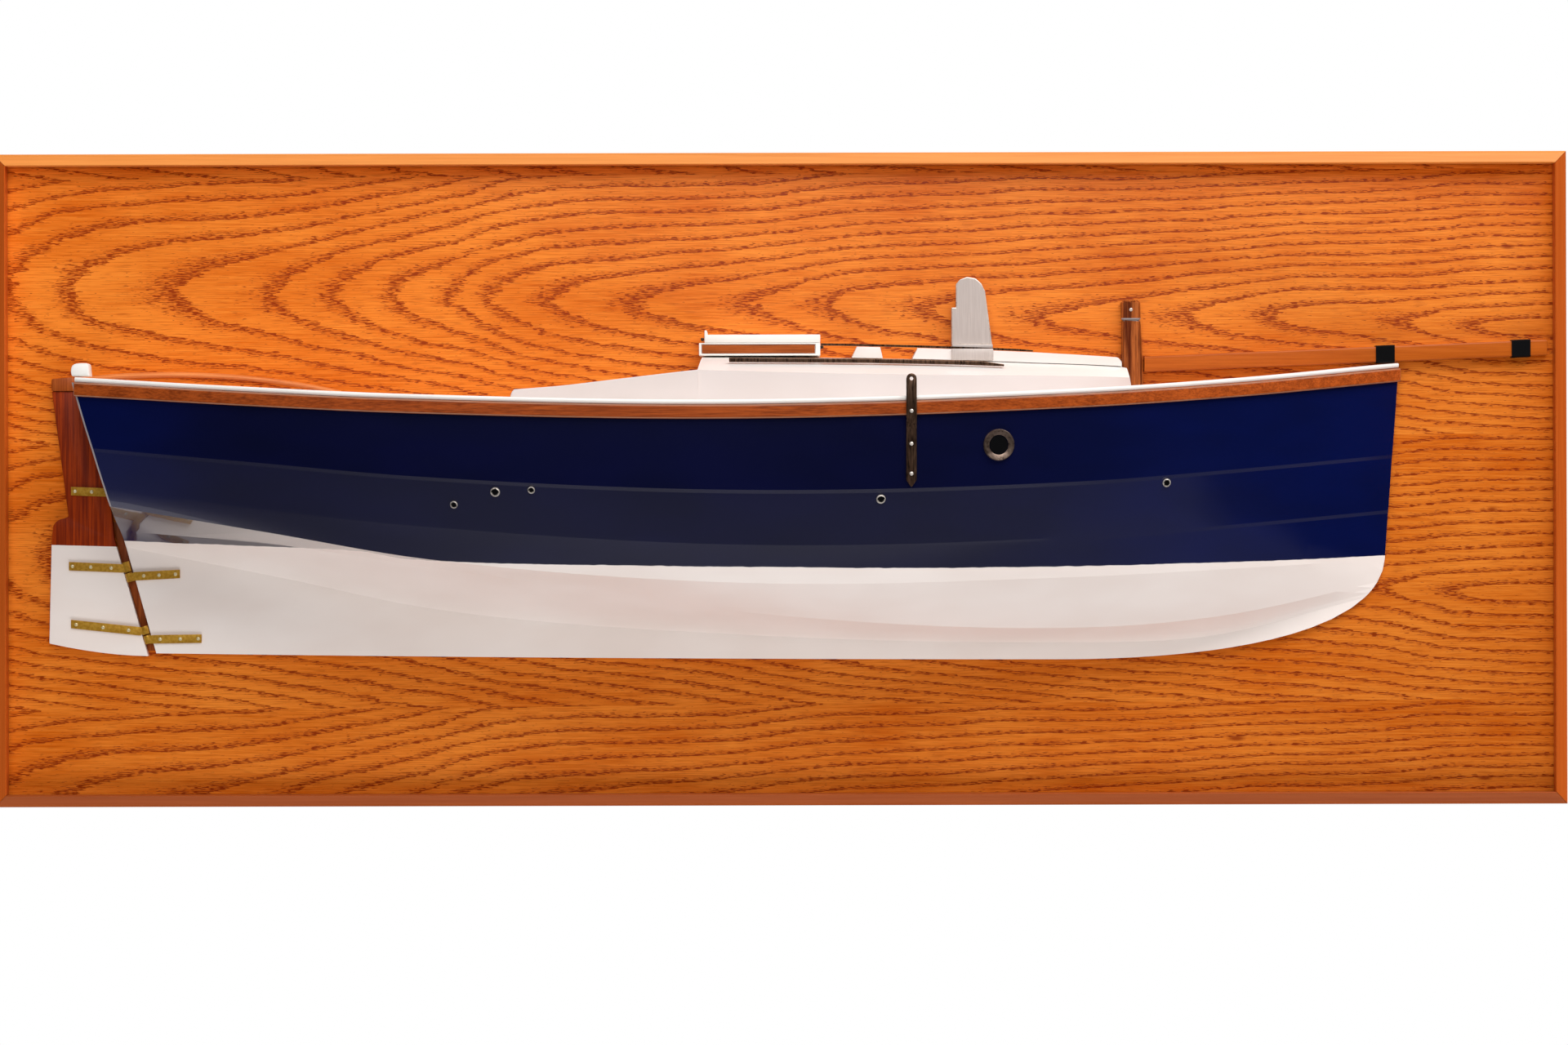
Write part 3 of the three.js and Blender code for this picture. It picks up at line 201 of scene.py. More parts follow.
# Sliced oak veneer, stained orange and oiled. The eye meets nested arches of open dark pores, the same on
# each leaf but slipped along, over a warm ground with a low sheen.
veneer = {
    "seamHeight": 140.2,          # top seam over the middle of the board
    "seamTilt": 0.0058,
    "leafHeight": 121.9,
    "leafShift": 10.0,            # how far the leaves are slipped along the grain
    "axisHeight": 79.8,           # the line that the points of the arches lie on
    "axisTilt": -0.0322,
    "span": (-370.0, 400.0),
    # where the point of each arch lies along the board, from the outermost ring in
    "arches": [
        -355, -327, -278, -231, -202, -175, -146, -128, -103, -64, -13, 21, 74, 127, 187, 226, 288, 319,
    ],
    "endShare": 0.4,              # how far the next ring has come at the two ends of the span
    "ringSpacing": 5.2,
    "archRounding": 0.43,
    # size along and across the grain of the waves in the rings, and how far they reach that way
    "waves": [((150, 70), (27, 12)), ((40, 14), (9, 2.1)), ((14, 4), (9, 0.9)), ((6, 0.6), (12, 0))],
    "poreBand": 0.6,              # how much of each ring is early wood
    "poreSize": (3.6, 1, 0.4),    # drawn about three times as coarse as oak's pores, so that they show
    "poreLevel": (0.7, 0.45),     # noise level that makes a pore in late wood and in early wood
    "poreEdge": 0.04,
    "hairSize": (9.0, 1, 0.45),   # the fine dark hairs between the rings
    "hairLevel": (0.55, 0.65, 0.0, 0.3),     # from and to these noise levels, up to this strength
    "fibreSize": (24, 1, 0.6),
    "cloudSize": (90, 1, 30),
    "cloudShare": 0.45,
    "toneLevel": (0.38, 0.62),
    "light": "#fa8f30",
    "dark": "#d9660c",
    "early": "#c65002",
    "earlyShare": 0.4,
    "pore": "#902c00",
    "poreShare": 0.9,
    "poreDepth": 0.05,
    # knots: place, and half their length and height
    "knots": [
        ((209, -119.5), (5, 1.6)), ((334, 106), (4, 1.4)),
        ((326.5, -14.7), (3, 1.3)), ((323, -138), (4, 1.2)),
    ],
    "knotLevel": (0.35, 1.0, 0.8, 0.0),
    # darker towards the foot, as painted shade where the light falls off, and darker towards the fore end
    "downward": (110, -110, 1.04, 0.82),
    "forward": (-300, 350, 1.09, 0.91),
    "roughness": 0.42,
    "shine": 0.2,
}


def makeVeneer():
    material, add, place = startMaterial("oakVeneer")
    x, y, z = add("SeparateXYZ", [place]).node.outputs
    # which leaf, and the place on it
    seam = add("Math", [x, veneer["seamTilt"], veneer["seamHeight"]], operation="MULTIPLY_ADD")
    below = add("Math", [seam, z], operation="SUBTRACT")
    leaf = add("Math", [add("Math", [below, veneer["leafHeight"]], operation="DIVIDE")], operation="FLOOR")
    root = add("Math", [leaf], operation="SQRT")
    slip = add("Math", [root, veneer["leafShift"], x], operation="MULTIPLY_ADD")
    rise = add("Math", [leaf, veneer["leafHeight"], z], operation="MULTIPLY_ADD")
    local = add("CombineXYZ", [slip, 0.0, rise])
    waved = local
    for (long, high), (forth, up) in veneer["waves"]:
        wave = grain(add, local, (long, 1, high), detail=0.0, output=1)
        wave = add("VectorMath", [wave, (noiseMiddle,) * 3], operation="SUBTRACT")
        waved = add("VectorMath", [wave, (forth, 0, up), waved], operation="MULTIPLY_ADD")
    along, y, up = add("SeparateXYZ", [waved]).node.outputs
    # rings: counted along the line of the arch points, and spread aside from it
    start, end = veneer["span"]
    rings = len(veneer["arches"])
    most = rings + 2.0            # the curve runs from 0 to 1, so its values are shares of this
    marks = [start, *veneer["arches"], end]
    counts = [rings + veneer["endShare"], *range(rings, 0, -1), veneer["endShare"]]
    curve = add("FloatCurve", {"Value": add("MapRange", [along, start, end])})
    shapeCurve(curve, [((mark - start) / (end - start), count / most) for mark, count in zip(marks, counts)])
    count = add("Math", [curve, most], operation="MULTIPLY")
    axis = add("Math", [along, veneer["axisTilt"], veneer["axisHeight"]], operation="MULTIPLY_ADD")
    aside = add("Math", [up, axis], operation="SUBTRACT")
    aside = add("Math", [aside, veneer["ringSpacing"]], operation="DIVIDE")
    rounding = add("Math", [count, veneer["archRounding"]], operation="MULTIPLY")
    reach = add("VectorMath", [add("CombineXYZ", [rounding, aside, 0.0])], 1, operation="LENGTH")
    ring = add("Math", [count, add("Math", [reach, rounding], operation="SUBTRACT")], operation="ADD")
    # open pores crowd at the start of each ring and thin out through it
    part = add("Math", [ring], operation="FRACT")
    dense = add("MapRange", [part, 0.0, veneer["poreBand"], 1.0, 0.0], interpolation_type="SMOOTHSTEP")
    level = add("MapRange", [dense, 0.0, 1.0, *veneer["poreLevel"]])
    over = add("Math", [grain(add, local, veneer["poreSize"], detail=1.0), level], operation="SUBTRACT")
    pores = add("MapRange", [over, 0.0, veneer["poreEdge"]])
    hairs = add("MapRange", [grain(add, local, veneer["hairSize"], detail=1.0), *veneer["hairLevel"]])
    pores = add("Math", [pores, hairs], operation="MAXIMUM")
    # the colours of the ground, the pores and the knots
    fibres = grain(add, local, veneer["fibreSize"], detail=3.0, roughness=0.6)
    clouds = grain(add, local, veneer["cloudSize"])
    tone = add("Mix", {0: veneer["cloudShare"], 2: fibres, 3: clouds})
    tone = add("MapRange", [tone, *veneer["toneLevel"]])
    dark, light, early, pore = [toLinear(veneer[key]) for key in ("dark", "light", "early", "pore")]
    ground = add("Mix", {0: tone, 6: dark, 7: light}, **rgba)
    earlyShare = add("Math", [dense, veneer["earlyShare"]], operation="MULTIPLY")
    ground = add("Mix", {0: earlyShare, 6: ground, 7: early}, **rgba)
    poreShare = add("Math", [pores, veneer["poreShare"]], operation="MULTIPLY")
    colour = add("Mix", {0: poreShare, 6: ground, 7: pore}, **rgba)
    for (knotX, knotZ), (long, high) in veneer["knots"]:
        away = add("VectorMath", [place, (-knotX, 0, -knotZ)], operation="ADD")
        away = add("VectorMath", [away, (1 / long, 0, 1 / high)], operation="MULTIPLY")
        knot = add("MapRange", [add("VectorMath", [away], 1, operation="LENGTH"), *veneer["knotLevel"]])
        colour = add("Mix", {0: knot, 6: colour, 7: pore}, **rgba)
    # painted shade towards the foot: the colour is darkened downwards and towards the fore end
    downward = add("MapRange", [z, *veneer["downward"]])
    forward = add("MapRange", [x, *veneer["forward"]])
    darkerDownAndFore = add("Math", [downward, forward], operation="MULTIPLY")
    colour = add("VectorMath", {0: colour, "Scale": darkerDownAndFore}, operation="SCALE")
    bump = add("Bump", {"Height": pores, "Distance": veneer["poreDepth"] * mm}, invert=True)
    return finishMaterial(material, add, Base_Color=colour, Roughness=veneer["roughness"], Normal=bump,
                          Specular_IOR_Level=veneer["shine"])


# Straight-grained wood, planed and sanded, under stain and varnish. The eye meets long streaks of colour
# with fine open pores along the piece, and a soft shine.
timbers = {
    # name: light, dark, grain axis, roughness, streak strength, pore strength, and how coarse the grain is
    # planed pine without varnish: pale and dull
    "boardBackTimber": ("#c98f55", "#a86c38", "X", 0.6, 0.5, 0.5, 1.0),
    # stained ash mouldings: an even orange, with painted light on the top one and painted shade on the
    # bottom one
    "frameTimberTop": ("#fa9c48", "#e78a38", "X", 0.34, 0.4, 0.3, 0.8),
    "frameTimberBottom": ("#ae5420", "#9c4614", "X", 0.34, 0.4, 0.3, 0.8),
    "frameTimberSide": ("#cc6020", "#bc5216", "Z", 0.34, 0.4, 0.3, 0.8),
    # oiled teak: red brown with close dark lines, with a pale painted highlight on the rounded arris
    "teakLong": ("#b2521c", "#78300c", "X", 0.34, 0.9, 0.7, 0.3),
    "teakUpright": ("#b45a24", "#8a3a10", "Z", 0.36, 0.8, 0.6, 0.5),
    "rudderTeak": ("#aa3a00", "#701c00", "Z", 0.5, 0.9, 0.7, 0.5),
    # painted highlight: pale teak for the rubbing strake's rounded edges, where they catch the light
    "wornTeak": ("#b08064", "#9c6a4c", "X", 0.4, 0.5, 0.3, 0.4),
    # painted shade: dark teak for the gap behind the sternpost, where the board lies in shadow
    "sternpostTeak": ("#9a4c1e", "#6c2c0c", "Z", 0.4, 0.9, 0.6, 0.4),
    # varnished pine spars, as orange as the board behind them
    "sparTimber": ("#c8641c", "#b0500e", "X", 0.36, 0.6, 0.5, 0.6),
    "tillerTimber": ("#f09450", "#cc6c34", "X", 0.3, 0.7, 0.5, 0.5),
    # polished rosewood: broad streaks from tan to nearly black
    "rosewood": ("#b8622a", "#561f08", "Z", 0.26, 1.3, 0.7, 0.7),
    "rosewoodLong": ("#b45a24", "#7c3810", "X", 0.3, 0.9, 0.6, 0.4),
}
paintedLightFore = {"teakLong": (60, 290, 0.95, 1.4)}    # painted light: lighter towards the bow, on the side the light comes from: from, to, and how much
timberGrain = {
    # length and thickness of the streaks, of the broad changes of colour and of the pores
    "sizes": ((60, 1.5), (180, 6), (12, 0.4)),
    "broadShare": 0.45,
    "streakReach": 0.22,          # how far noise goes from its middle to the lightest and the darkest streak
    "leastStreaks": 0.5,          # the streak strength that each timber's own is added to
    "poreLevel": (0.56, 0.66),
    "poreDepth": 0.02,
    "shine": 0.25,
}


def makeTimber(name):
    light, dark, axis, roughness, figure, pores, coarse = timbers[name]
    light, dark = toLinear(light), toLinear(dark)
    material, add, place = startMaterial(name)
    sizes = [(long, thick, thick) if axis == "X" else (thick, thick, long)
             for long, thick in timberGrain["sizes"]]
    streaks, broad, fine = [
        grain(add, place, [coarse * s for s in size], detail=3.0, roughness=0.6) for size in sizes]
    tone = add("Mix", {0: timberGrain["broadShare"], 2: streaks, 3: broad})
    reach = timberGrain["streakReach"] / (figure + timberGrain["leastStreaks"])
    limits = noiseMiddle - reach, noiseMiddle + reach
    tone = add("MapRange", [tone, *limits], interpolation_type="SMOOTHSTEP")
    colour = add("Mix", {0: tone, 6: dark, 7: light}, **rgba)
    lines = add("MapRange", [fine, *timberGrain["poreLevel"], 0.0, pores])
    colour = add("Mix", {0: lines, 6: colour, 7: dark}, **rgba)
    # painted light: the colour is made lighter towards the bow
    if name in paintedLightFore:
        lighterFore = add("MapRange", [add("SeparateXYZ", [place]), *paintedLightFore[name]])
        colour = add("VectorMath", {0: colour, "Scale": lighterFore}, operation="SCALE")
    bump = add("Bump", {"Height": lines, "Distance": timberGrain["poreDepth"] * mm}, invert=True)
    return finishMaterial(material, add, Base_Color=colour, Roughness=roughness, Normal=bump,
                          Specular_IOR_Level=timberGrain["shine"])


# Paint on filled and sanded wood. The eye meets one clean colour with faint ripples from the brush.
paints = {
    # name: colour, cloudy colour, roughness, shine, ripple size, ripple depth
    "whiteBottomPaint": ("#fbeee5", "#f7e7dd", 0.36, 0.5, (30, 30, 12), 0.08),    # satin, softly waved
    "whiteTrimEnamel": ("#f3e9e3", "#eee3da", 0.34, 0.5, (24, 3, 3), 0.02),       # brushed along the piece
    "freshEnamel": ("#fffcf5", "#fbf6ee", 0.34, 0.5, (24, 3, 3), 0.02),           # the same, whiter: painted light for pieces that face the light
    "cabinEnamel": ("#e2d7d2", "#ded2cc", 0.4, 0.5, (40, 20, 6), 0.03),           # duller, on broad faces
    "coamingEnamel": ("#e5dad5", "#e1d6d0", 0.4, 0.5, (40, 20, 6), 0.03),         # the same, a shade whiter
    "whiteDeckPaint": ("#f0e7df", "#eae0d7", 0.5, 0.5, (6, 6, 6), 0.02),          # stippled, nearly matt
    "paleEdgePaint": ("#aaa2a0", "#968e8e", 0.4, 0.5, (6, 6, 6), 0.02),           # pale grey, as painted highlight on edges that catch the light
    "blackPaint": ("#040405", "#070708", 0.5, 0.15, (3, 3, 3), 0.01),             # dead black, no lights: the bowsprit's bands, and painted shade in the hawse hole and the skin fittings' bores
}
paintCloud = {"size": (50, 50, 20), "level": (0.35, 0.65)}     # where the coat is a little thicker


def makePaint(name):
    colour, cloudy, roughness, shine, ripple, depth = paints[name]
    material, add, place = startMaterial(name)
    cloud = add("MapRange", [grain(add, place, paintCloud["size"]), *paintCloud["level"]])
    shade = add("Mix", {0: cloud, 6: toLinear(colour), 7: toLinear(cloudy)}, **rgba)
    bump = add("Bump", {"Height": grain(add, place, ripple, detail=1.0), "Distance": depth * mm})
    return finishMaterial(
        material, add, Base_Color=shade, Roughness=roughness, Normal=bump, Specular_IOR_Level=shine)


# Hull enamel, sprayed and polished: the navy above the paint line is a dark mirror under clear gloss, and
# the white below it is satin
hullPaint = {
    "navy": ("#070a2e", "#060928"),
    "navyEnds": ("#030e44", "#030c3c"),      # the blue is fuller towards the bow and the transom
    "navyFore": (60, 230),
    "navyAft": (-235, -315),
    "white": ("#fbefe7", "#f6e8df"),
    "roughness": (0.36, 0.25),               # of the white and of the navy
    "coatRoughness": 0.03,
    "ripple": ((40, 40, 14), 0.06),
    "edge": 0.12,                            # half the soft edge of the paint line
    "waver": (6.0, 0.15),                    # size and reach of the brush's wavering along it
    "waverLevel": (0.25, 0.75),
    # height of the paint line along the boat
    "line": [
        (-330, -25.6), (-290, -28), (-250, -29.6), (-190, -32), (-166, -35.6),
        (-125, -37.6), (-60, -38.8), (0, -39.6), (60, -40.2), (100, -40),
        (145, -39.5), (187, -38.6), (230, -37.5), (276, -35.7), (300, -34.6),
    ],
    "between": (-44.0, -22.0),
}


def makeHullEnamel():
    material, add, place = startMaterial("hullEnamel")
    x, y, z = add("SeparateXYZ", [place]).node.outputs
    line, (low, high) = hullPaint["line"], hullPaint["between"]
    start, end = line[0][0], line[-1][0]
    curve = add("FloatCurve", {"Value": add("MapRange", [x, start, end])})
    shapeCurve(curve, [((at - start) / (end - start), (height - low) / (high - low)) for at, height in line])
    size, reach = hullPaint["waver"]
    waver = grain(add, place, (size,) * 3, detail=1.0)
    waver = add("MapRange", [waver, *hullPaint["waverLevel"], -reach, reach])
    height = add("Math", [add("MapRange", [curve, 0.0, 1.0, low, high]), waver], operation="ADD")
    above = add("Math", [z, height], operation="SUBTRACT")
    isNavy = add("MapRange", [above, -hullPaint["edge"], hullPaint["edge"]])
    cloud = add("MapRange", [grain(add, place, paintCloud["size"]), *paintCloud["level"]])
    navy, ends, white = [
        add("Mix", {0: cloud, 6: toLinear(hullPaint[key][0]), 7: toLinear(hullPaint[key][1])}, **rgba)
        for key in ("navy", "navyEnds", "white")]
    fore, aft = [add("MapRange", [x, *hullPaint[key]], interpolation_type="SMOOTHSTEP")
                 for key in ("navyFore", "navyAft")]
    navy = add("Mix", {0: add("Math", [fore, aft], operation="MAXIMUM"), 6: navy, 7: ends}, **rgba)
    colour = add("Mix", {0: isNavy, 6: white, 7: navy}, **rgba)
    rough = add("MapRange", [isNavy, 0.0, 1.0, *hullPaint["roughness"]])
    ripple, depth = hullPaint["ripple"]
    bump = add("Bump", {"Height": grain(add, place, ripple, detail=1.0), "Distance": depth * mm})
    return finishMaterial(material, add, Base_Color=colour, Roughness=rough, Normal=bump, Coat_Weight=isNavy,
                          Coat_Roughness=hullPaint["coatRoughness"], Coat_Normal=bump)


# Bare and patinated metal. The eye meets its colour in the light it throws back, and rub marks that change
# how sharply it shines. Metallic is under 1, because lacquer and grime dull these small pieces.
metals = {
    # name: light, dark, metallic, roughness, how far the marks change it, mark size
    "brass": ("#eab444", "#d4982e", 0.55, 0.36, 0.04, (1.2, 1.2, 1.2)),              # rolled: deep yellow
    "brightBrass": ("#fff0c4", "#f0dca0", 0.4, 0.25, 0.05, (1, 1, 1)),               # pale and sharp: painted highlight on the small pins
    "brightSteel": ("#f0e6da", "#cfc4b8", 0.45, 0.34, 0.08, (1.5, 1.5, 1.5)),        # turned: nearly white
    "tarnishedSteel": ("#8f7a6c", "#6f5c50", 0.8, 0.34, 0.1, (1.5, 1.5, 1.5)),       # blotched warm grey
    "darkBronze": ("#7a5c48", "#4a362a", 0.8, 0.34, 0.1, (0.8, 0.8, 6)),             # drawn: streaky brown
    "brushedAluminium": ("#dccfc7", "#d0c2ba", 0.3, 0.45, 0.08, (0.2, 0.2, 10)),     # soft upright lines
}
metalMarks = {"toneLevel": (0.35, 0.65), "roughLevel": (0.3, 0.7), "depth": 0.004}


def makeMetal(name):
    light, dark, metallic, roughness, marks, size = metals[name]
    material, add, place = startMaterial(name)
    rub = grain(add, place, size, detail=3.0)
    tone = add("MapRange", [rub, *metalMarks["toneLevel"]])
    colour = add("Mix", {0: tone, 6: toLinear(dark), 7: toLinear(light)}, **rgba)
    rough = add("MapRange", [rub, *metalMarks["roughLevel"], roughness - marks, roughness + marks])
    bump = add("Bump", {"Height": rub, "Distance": metalMarks["depth"] * mm})
    return finishMaterial(material, add, Base_Color=colour, Metallic=metallic, Roughness=rough, Normal=bump)


finishes = {"oakVeneer": makeVeneer(), "hullEnamel": makeHullEnamel()}
for names, make in ((timbers, makeTimber), (paints, makePaint), (metals, makeMetal)):
    finishes.update({name: make(name) for name in names})

print("board, hull and cabin")


# A merged copy of a CAD node
def copyNode(name):
    bm = bmesh.new()
    bm.from_mesh(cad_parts[name].data)
    bmesh.ops.remove_doubles(bm, verts=bm.verts, dist=tiny)
    return bm


# Makes the flat faces whole, then rounds the edges that are sharper than this angle
def roundEdges(bm, radius, sharpOver=30, rim=-1, flatUnder=0.5):
    bmesh.ops.dissolve_limit(bm, angle_limit=radians(flatUnder), verts=bm.verts, edges=bm.edges)
    sharp = [e for e in bm.edges if e.is_manifold and e.calc_face_angle(0) > radians(sharpOver)]
    bmesh.ops.bevel(bm, geom=sharp, offset=radius * mm, offset_type="OFFSET", segments=2, profile=0.5,
                    affect="EDGES", clamp_overlap=True, material=rim)


# Writes the finished piece, which stands for the node it is made from
def addPiece(bm, name, replaced, slot, materials, smoothUnder=28):
    mesh = bpy.data.meshes.new(name)
    bm.to_mesh(mesh)
    bm.free()
    if "custom_normal" in mesh.attributes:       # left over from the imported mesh
        mesh.attributes.remove(mesh.attributes["custom_normal"])
    mesh.shade_smooth()
    mesh.set_sharp_from_angle(angle=radians(smoothUnder))
    for material in materials:
        mesh.materials.append(finishes[material])
    piece = bpy.data.objects.new(name, mesh)
    bpy.context.scene.collection.objects.link(piece)
    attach(piece, "root")
    if replaced:
        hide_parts(replaced)


veneered = {"rounding": 0.3, "forward": -0.5}    # the face that points forward has the veneer
board = copyNode("backboard")
roundEdges(board, veneered["rounding"])
for face in board.faces:
    face.material_index = 0 if face.normal.y < veneered["forward"] else 1
addPiece(board, "veneeredBoard", "backboard", "veneer", ["oakVeneer", "boardBackTimber"])

deck = {"upward": 0.8, "smoothUnder": 10}        # the laps between the strakes stay sharp
hull = copyNode("hull")
for face in hull.faces:
    face.material_index = 1 if face.normal.z > deck["upward"] else 0

# Painted highlight on the edge of the transom: a thin pale ribbon along the rim, from the deck down to the
# tuck
transomEdge = {
    "aftward": -0.7,                         # faces of the transom point aft more than this
    "out": -20,                              # the rim's part that stands this far off the wall
    "above": -16,
    "shift": ((-0.05, -0.1, 0), (0.75, -0.3, 0)),     # from the rim to one side, and on to the other
    "thickness": 0.08,
}
ribbon = hull.copy()
rim = set()
for edge in ribbon.edges:
    ends = [v.co for v in edge.verts]
    isRim = edge.is_manifold and sum(f.normal.x < transomEdge["aftward"] for f in edge.link_faces) == 1
    isOut = max(end.y for end in ends) < transomEdge["out"] * mm
    isAbove = min(end.z for end in ends) > transomEdge["above"] * mm
    if isRim and isOut and isAbove:
        rim.update((edge, *edge.verts))
rest = [part for part in (*ribbon.verts, *ribbon.edges, *ribbon.faces) if part not in rim]
bmesh.ops.delete(ribbon, geom=rest, context="TAGGED_ONLY")
toOuter, toInner = [Vector(shift) * mm for shift in transomEdge["shift"]]
bmesh.ops.translate(ribbon, vec=toOuter, verts=ribbon.verts)
inner = bmesh.ops.extrude_edge_only(ribbon, edges=ribbon.edges)["geom"]
bmesh.ops.translate(ribbon, vec=toInner, verts=[v for v in inner if isinstance(v, bmesh.types.BMVert)])
bmesh.ops.recalc_face_normals(ribbon, faces=ribbon.faces)
bmesh.ops.solidify(ribbon, geom=ribbon.faces[:], thickness=transomEdge["thickness"] * mm)
addPiece(ribbon, "transomEdge", None, "navy_paint", ["paleEdgePaint"])
addPiece(hull, "paintedHull", "hull", "navy_paint", ["hullEnamel", "whiteDeckPaint"], deck["smoothUnder"])

# The rudder is cut along its paint line: teak above and white below
rudderPaint = {"rounding": 0.35, "aft": (-345, 0, -29.1), "fore": (-280, 0, -30.9)}
rudder = copyNode("rudder")
roundEdges(rudder, rudderPaint["rounding"])
aft, fore = Vector(rudderPaint["aft"]) * mm, Vector(rudderPaint["fore"]) * mm
upward = (fore - aft).cross(Vector((0, 1, 0)))
bmesh.ops.bisect_plane(rudder, geom=rudder.verts[:] + rudder.edges[:] + rudder.faces[:], dist=tiny,
                       plane_co=aft, plane_no=upward)
for face in rudder.faces:
    face.material_index = 0 if upward.dot(face.calc_center_median() - aft) > 0 else 1
addPiece(rudder, "rudderBoard", "rudder", "varnished_wood", ["rudderTeak", "whiteBottomPaint"])

coamingEnd = {"forward": 0.6, "near": 0.01}      # its fore end runs on into the cabin's side
coaming = copyNode("cockpit_coaming")
foreEnd = max(v.co.x for v in coaming.verts)
for vert in coaming.verts:
    if vert.co.x > foreEnd - coamingEnd["near"] * mm:
        vert.co.x += coamingEnd["forward"] * mm
addPiece(coaming, "cockpitCoaming", "cockpit_coaming", "white_paint", ["coamingEnamel"])

roof = {"upward": 0.5}                           # painted light: the roof faces up to the light and gets the whiter enamel, the side the duller one
cabin = copyNode("coachroof")
for face in cabin.faces:
    face.material_index = 1 if face.normal.z > roof["upward"] else 0
addPiece(cabin, "coachroofShell", "coachroof", "white_paint", ["cabinEnamel", "freshEnamel"])

postHighlightBand = {"low": 72.2, "high": 73.8, "smoothUnder": 12}     # painted highlight: a pale grey band under the post's head, where its chamfer catches the light
post = copyNode("samson_post")
for face in post.faces:
    isHighlightBand = postHighlightBand["low"] * mm < face.calc_center_median().z < postHighlightBand["high"] * mm
    face.material_index = 1 if isHighlightBand else 0
addPiece(post, "samsonPost", "samson_post", "varnished_wood", ["rosewood", "paleEdgePaint"],
         postHighlightBand["smoothUnder"])

# Two pieces whose rounded edges carry a painted highlight, brighter than their faces: pale teak, and a
# bright steel rim
highlightedEdges = {
    # node: name here, materials, slot, rounding of its edges, and how sharp an edge must be to show
    "rubbing_strake": ("rubbingStrake", ["teakLong", "wornTeak"], "varnished_wood", 0.35, 12),
    "tabernacle_plate": ("tabernaclePlate", ["brushedAluminium", "brightSteel"], "aluminium", 0.45, 12),
}
for node, (name, materials, slot, radius, smoothUnder) in highlightedEdges.items():
    piece = copyNode(node)
    roundEdges(piece, radius, rim=1)
    addPiece(piece, name, node, slot, materials, smoothUnder)

print("small pieces that only show here")


# A block between two corners in millimetres, with rounded edges
def makeBlock(low, high, rounding):
    bm = bmesh.new()
    bmesh.ops.create_cube(bm, size=1)
    size, middle = Vector(high) - Vector(low), (Vector(high) + Vector(low)) / 2
    bmesh.ops.scale(bm, vec=size * mm, verts=bm.verts)
    bmesh.ops.translate(bm, vec=middle * mm, verts=bm.verts)
    roundEdges(bm, rounding)
    return bm


# The cheek beside the mast's foot
cheek = {"low": (78.0, -29.0, 53.9), "high": (97.0, -28.2, 59.1), "rounding": 0.25}
addPiece(makeBlock(**cheek), "tabernacleCheek", None, "aluminium", ["brushedAluminium"])

# Painted shade: a strip of dark teak in the gap between the rudder and the sternpost, where the board lies
# in shadow; it leans aft with the sternpost
sternpost = {
    "strip": {"low": (-1.8, -13.4, -78.0), "high": (1.8, -12.1, -19.0), "rounding": 0.2},
    "aft": 296.6,                 # how far aft it is at this level
    "level": -50,
    "rake": 0.288,                # and how much further for each step up
}
strip = makeBlock(**sternpost["strip"])
for vert in strip.verts:
    vert.co.x -= sternpost["aft"] * mm + sternpost["rake"] * (vert.co.z - sternpost["level"] * mm)
addPiece(strip, "sternpostStrip", None, "varnished_wood", ["sternpostTeak"])

# Two short rods that stop the hatch
hatchStops = {
    "places": {"hatchStopAft": (-35.4, -30.6, 63.5), "hatchStopFore": (18.9, -30.6, 59.9)},
    "radius": 0.8,
    "length": 2.4,
    "rounding": 0.2,
}
for name, place in hatchStops["places"].items():
    stop = bmesh.new()
    radius, length = hatchStops["radius"] * mm, hatchStops["length"] * mm
    bmesh.ops.create_cone(stop, cap_ends=True, segments=16, radius1=radius, radius2=radius, depth=length)
    bmesh.ops.rotate(stop, cent=(0, 0, 0), matrix=Matrix.Rotation(radians(90), 3, "X"), verts=stop.verts)
    bmesh.ops.translate(stop, vec=Vector(place) * mm, verts=stop.verts)
    roundEdges(stop, hatchStops["rounding"])
    addPiece(stop, name, None, "dark_bronze", ["darkBronze"])

print("trim and fittings")
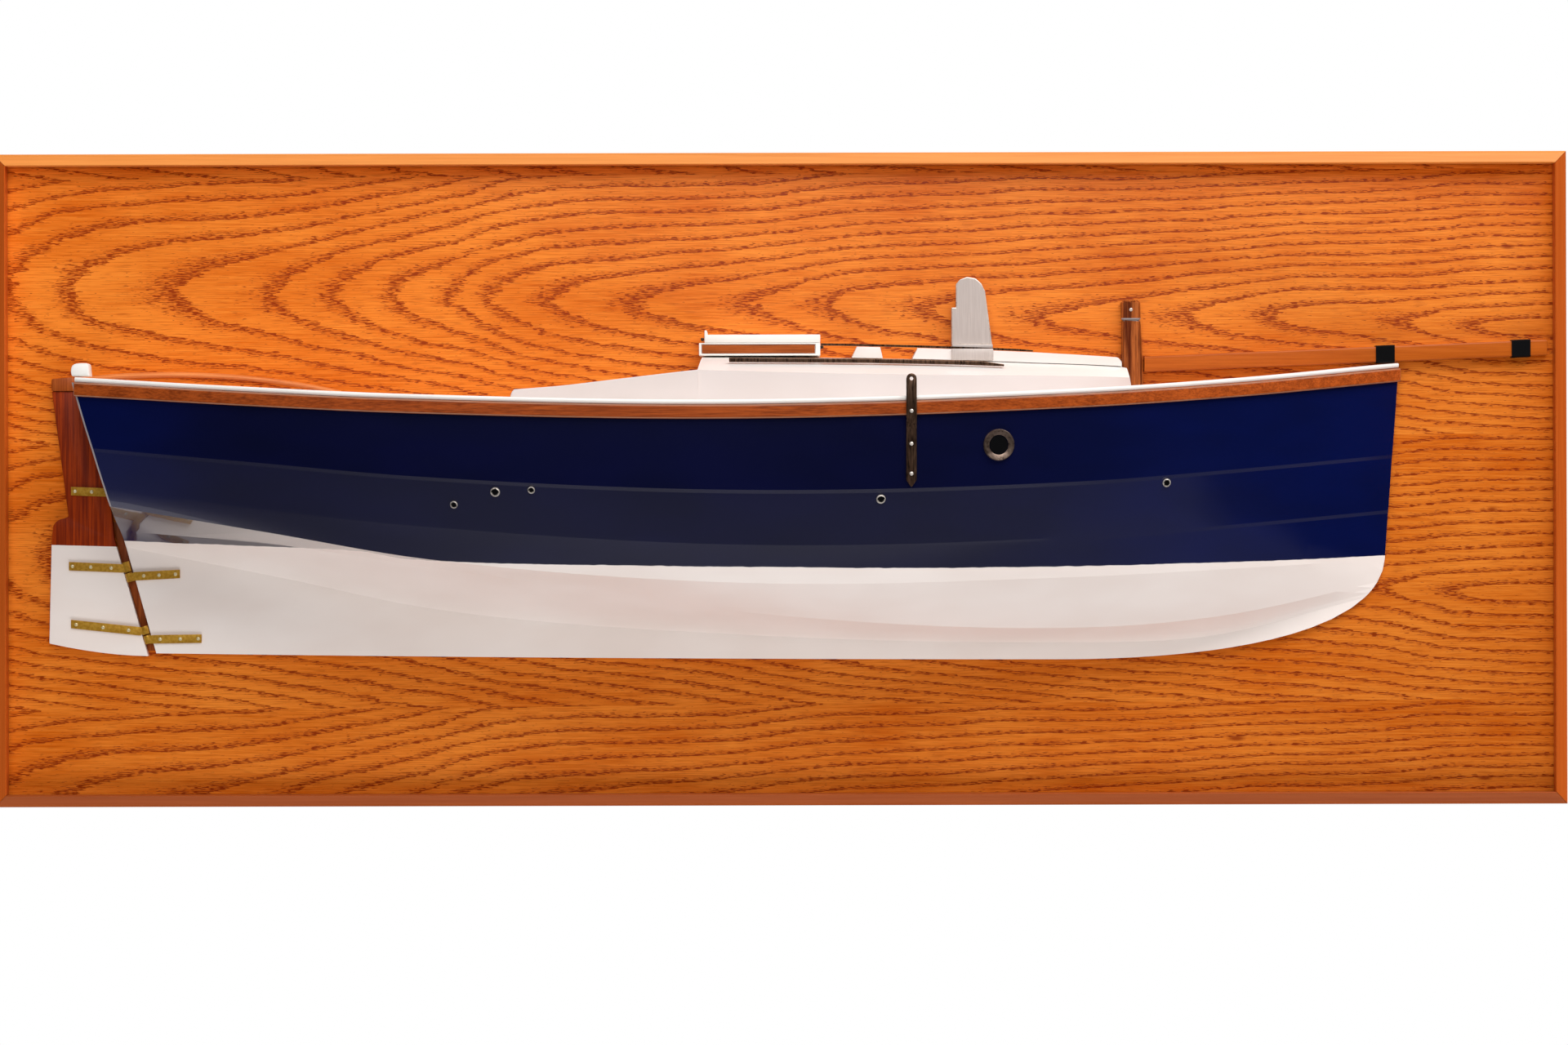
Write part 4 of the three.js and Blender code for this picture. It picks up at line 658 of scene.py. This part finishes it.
# node: name here, material, slot, rounding of its edges, and how sharp an edge must be to show, if not 28
trim = {
    # the top and bottom mouldings carry painted light and painted shade
    "frame_top": ("topMoulding", "frameTimberTop", "frame_wood", 0, 12),
    "frame_bottom": ("bottomMoulding", "frameTimberBottom", "frame_wood", 0, 12),
    "frame_fore": ("foreMoulding", "frameTimberSide", "frame_wood", 0, 12),
    "frame_aft": ("aftMoulding", "frameTimberSide", "frame_wood", 0, 12),
    "gunwale_rail": ("gunwaleRail", "freshEnamel", "white_paint", 0, 12),
    "quarter_block": ("quarterBlock", "freshEnamel", "white_paint", 0),
    "companion_hatch": ("companionHatch", "freshEnamel", "white_paint", 0.25),
    "hatch_panel": ("hatchPanel", "rosewoodLong", "varnished_wood", 0),
    "hatch_lid": ("hatchLid", "freshEnamel", "white_paint", 0.4),
    "roof_pad": ("roofPad", "whiteTrimEnamel", "white_paint", 0.3),
    "fore_trunk": ("foreTrunk", "whiteTrimEnamel", "white_paint", 0),
    "roof_rail": ("roofRail", "darkBronze", "dark_bronze", 0),
    "grab_strip": ("grabStrip", "darkBronze", "dark_bronze", 0.3),
    "tabernacle_foot": ("tabernacleFoot", "brushedAluminium", "aluminium", 0.3),
    "bowsprit": ("bowspritSpar", "sparTimber", "varnished_wood", 0.5),
    "bowsprit_band_inner": ("bowspritBandInner", "blackPaint", "black_paint", 0),
    "bowsprit_band_outer": ("bowspritBandOuter", "blackPaint", "black_paint", 0),
    "chainplate": ("chainplateBar", "darkBronze", "dark_bronze", 0.15),
    "hawse_ring": ("hawseRing", "tarnishedSteel", "bright_steel", 0),
    # painted shade: a black disc stands for the dark inside of the hawse hole
    "hawse_disc": ("hawseDisc", "blackPaint", "black_paint", 0),
    "rudder_head": ("rudderHead", "teakUpright", "varnished_wood", 0.5),
    "tiller": ("tillerBar", "tillerTimber", "varnished_wood", 0),
}
for node, (name, material, slot, radius, *sharp) in trim.items():
    piece = copyNode(node)
    if radius:
        roundEdges(piece, radius)
    addPiece(piece, name, node, slot, [material], *sharp)

# Small metal: straps with their pins, bolts, and skin fittings whose bore is black as painted shade
fittings = {
    "boreShare": 0.72,            # of a skin fitting's radius
    "smoothUnder": 50,
    "strap": {"rounding": 0.12, "sharpOver": 60, "smoothUnder": 30},
}
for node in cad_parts:
    if not node.startswith(("strap", "post_pin", "chainplate_bolt", "skin_fitting")):
        continue
    piece = copyNode(node)
    name = "".join(word.title() if i else word for i, word in enumerate(node.split("_")))
    slot, materials, smoothUnder = "bright_steel", ["brightSteel"], fittings["smoothUnder"]
    if node.startswith("strap"):
        slot, materials = "brass", ["brightBrass" if "pin" in node else "brass"]
    if node.startswith("strap") and "pin" not in node:
        strap = fittings["strap"]
        roundEdges(piece, strap["rounding"], strap["sharpOver"])
        smoothUnder = strap["smoothUnder"]
    if node.startswith("skin_fitting"):
        low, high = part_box(node)
        middle = (Vector(low) + Vector(high)) / 2
        radius = max(high[0] - low[0], high[2] - low[2]) / 2
        # painted shade: the faces inside the bore are painted black
        for face in piece.faces:
            inside = (face.calc_center_median() - middle).xz.length < radius * fittings["boreShare"]
            face.material_index = 1 if inside else 0
        materials.append("blackPaint")
    addPiece(piece, name, node, slot, materials, smoothUnder)

print("done")
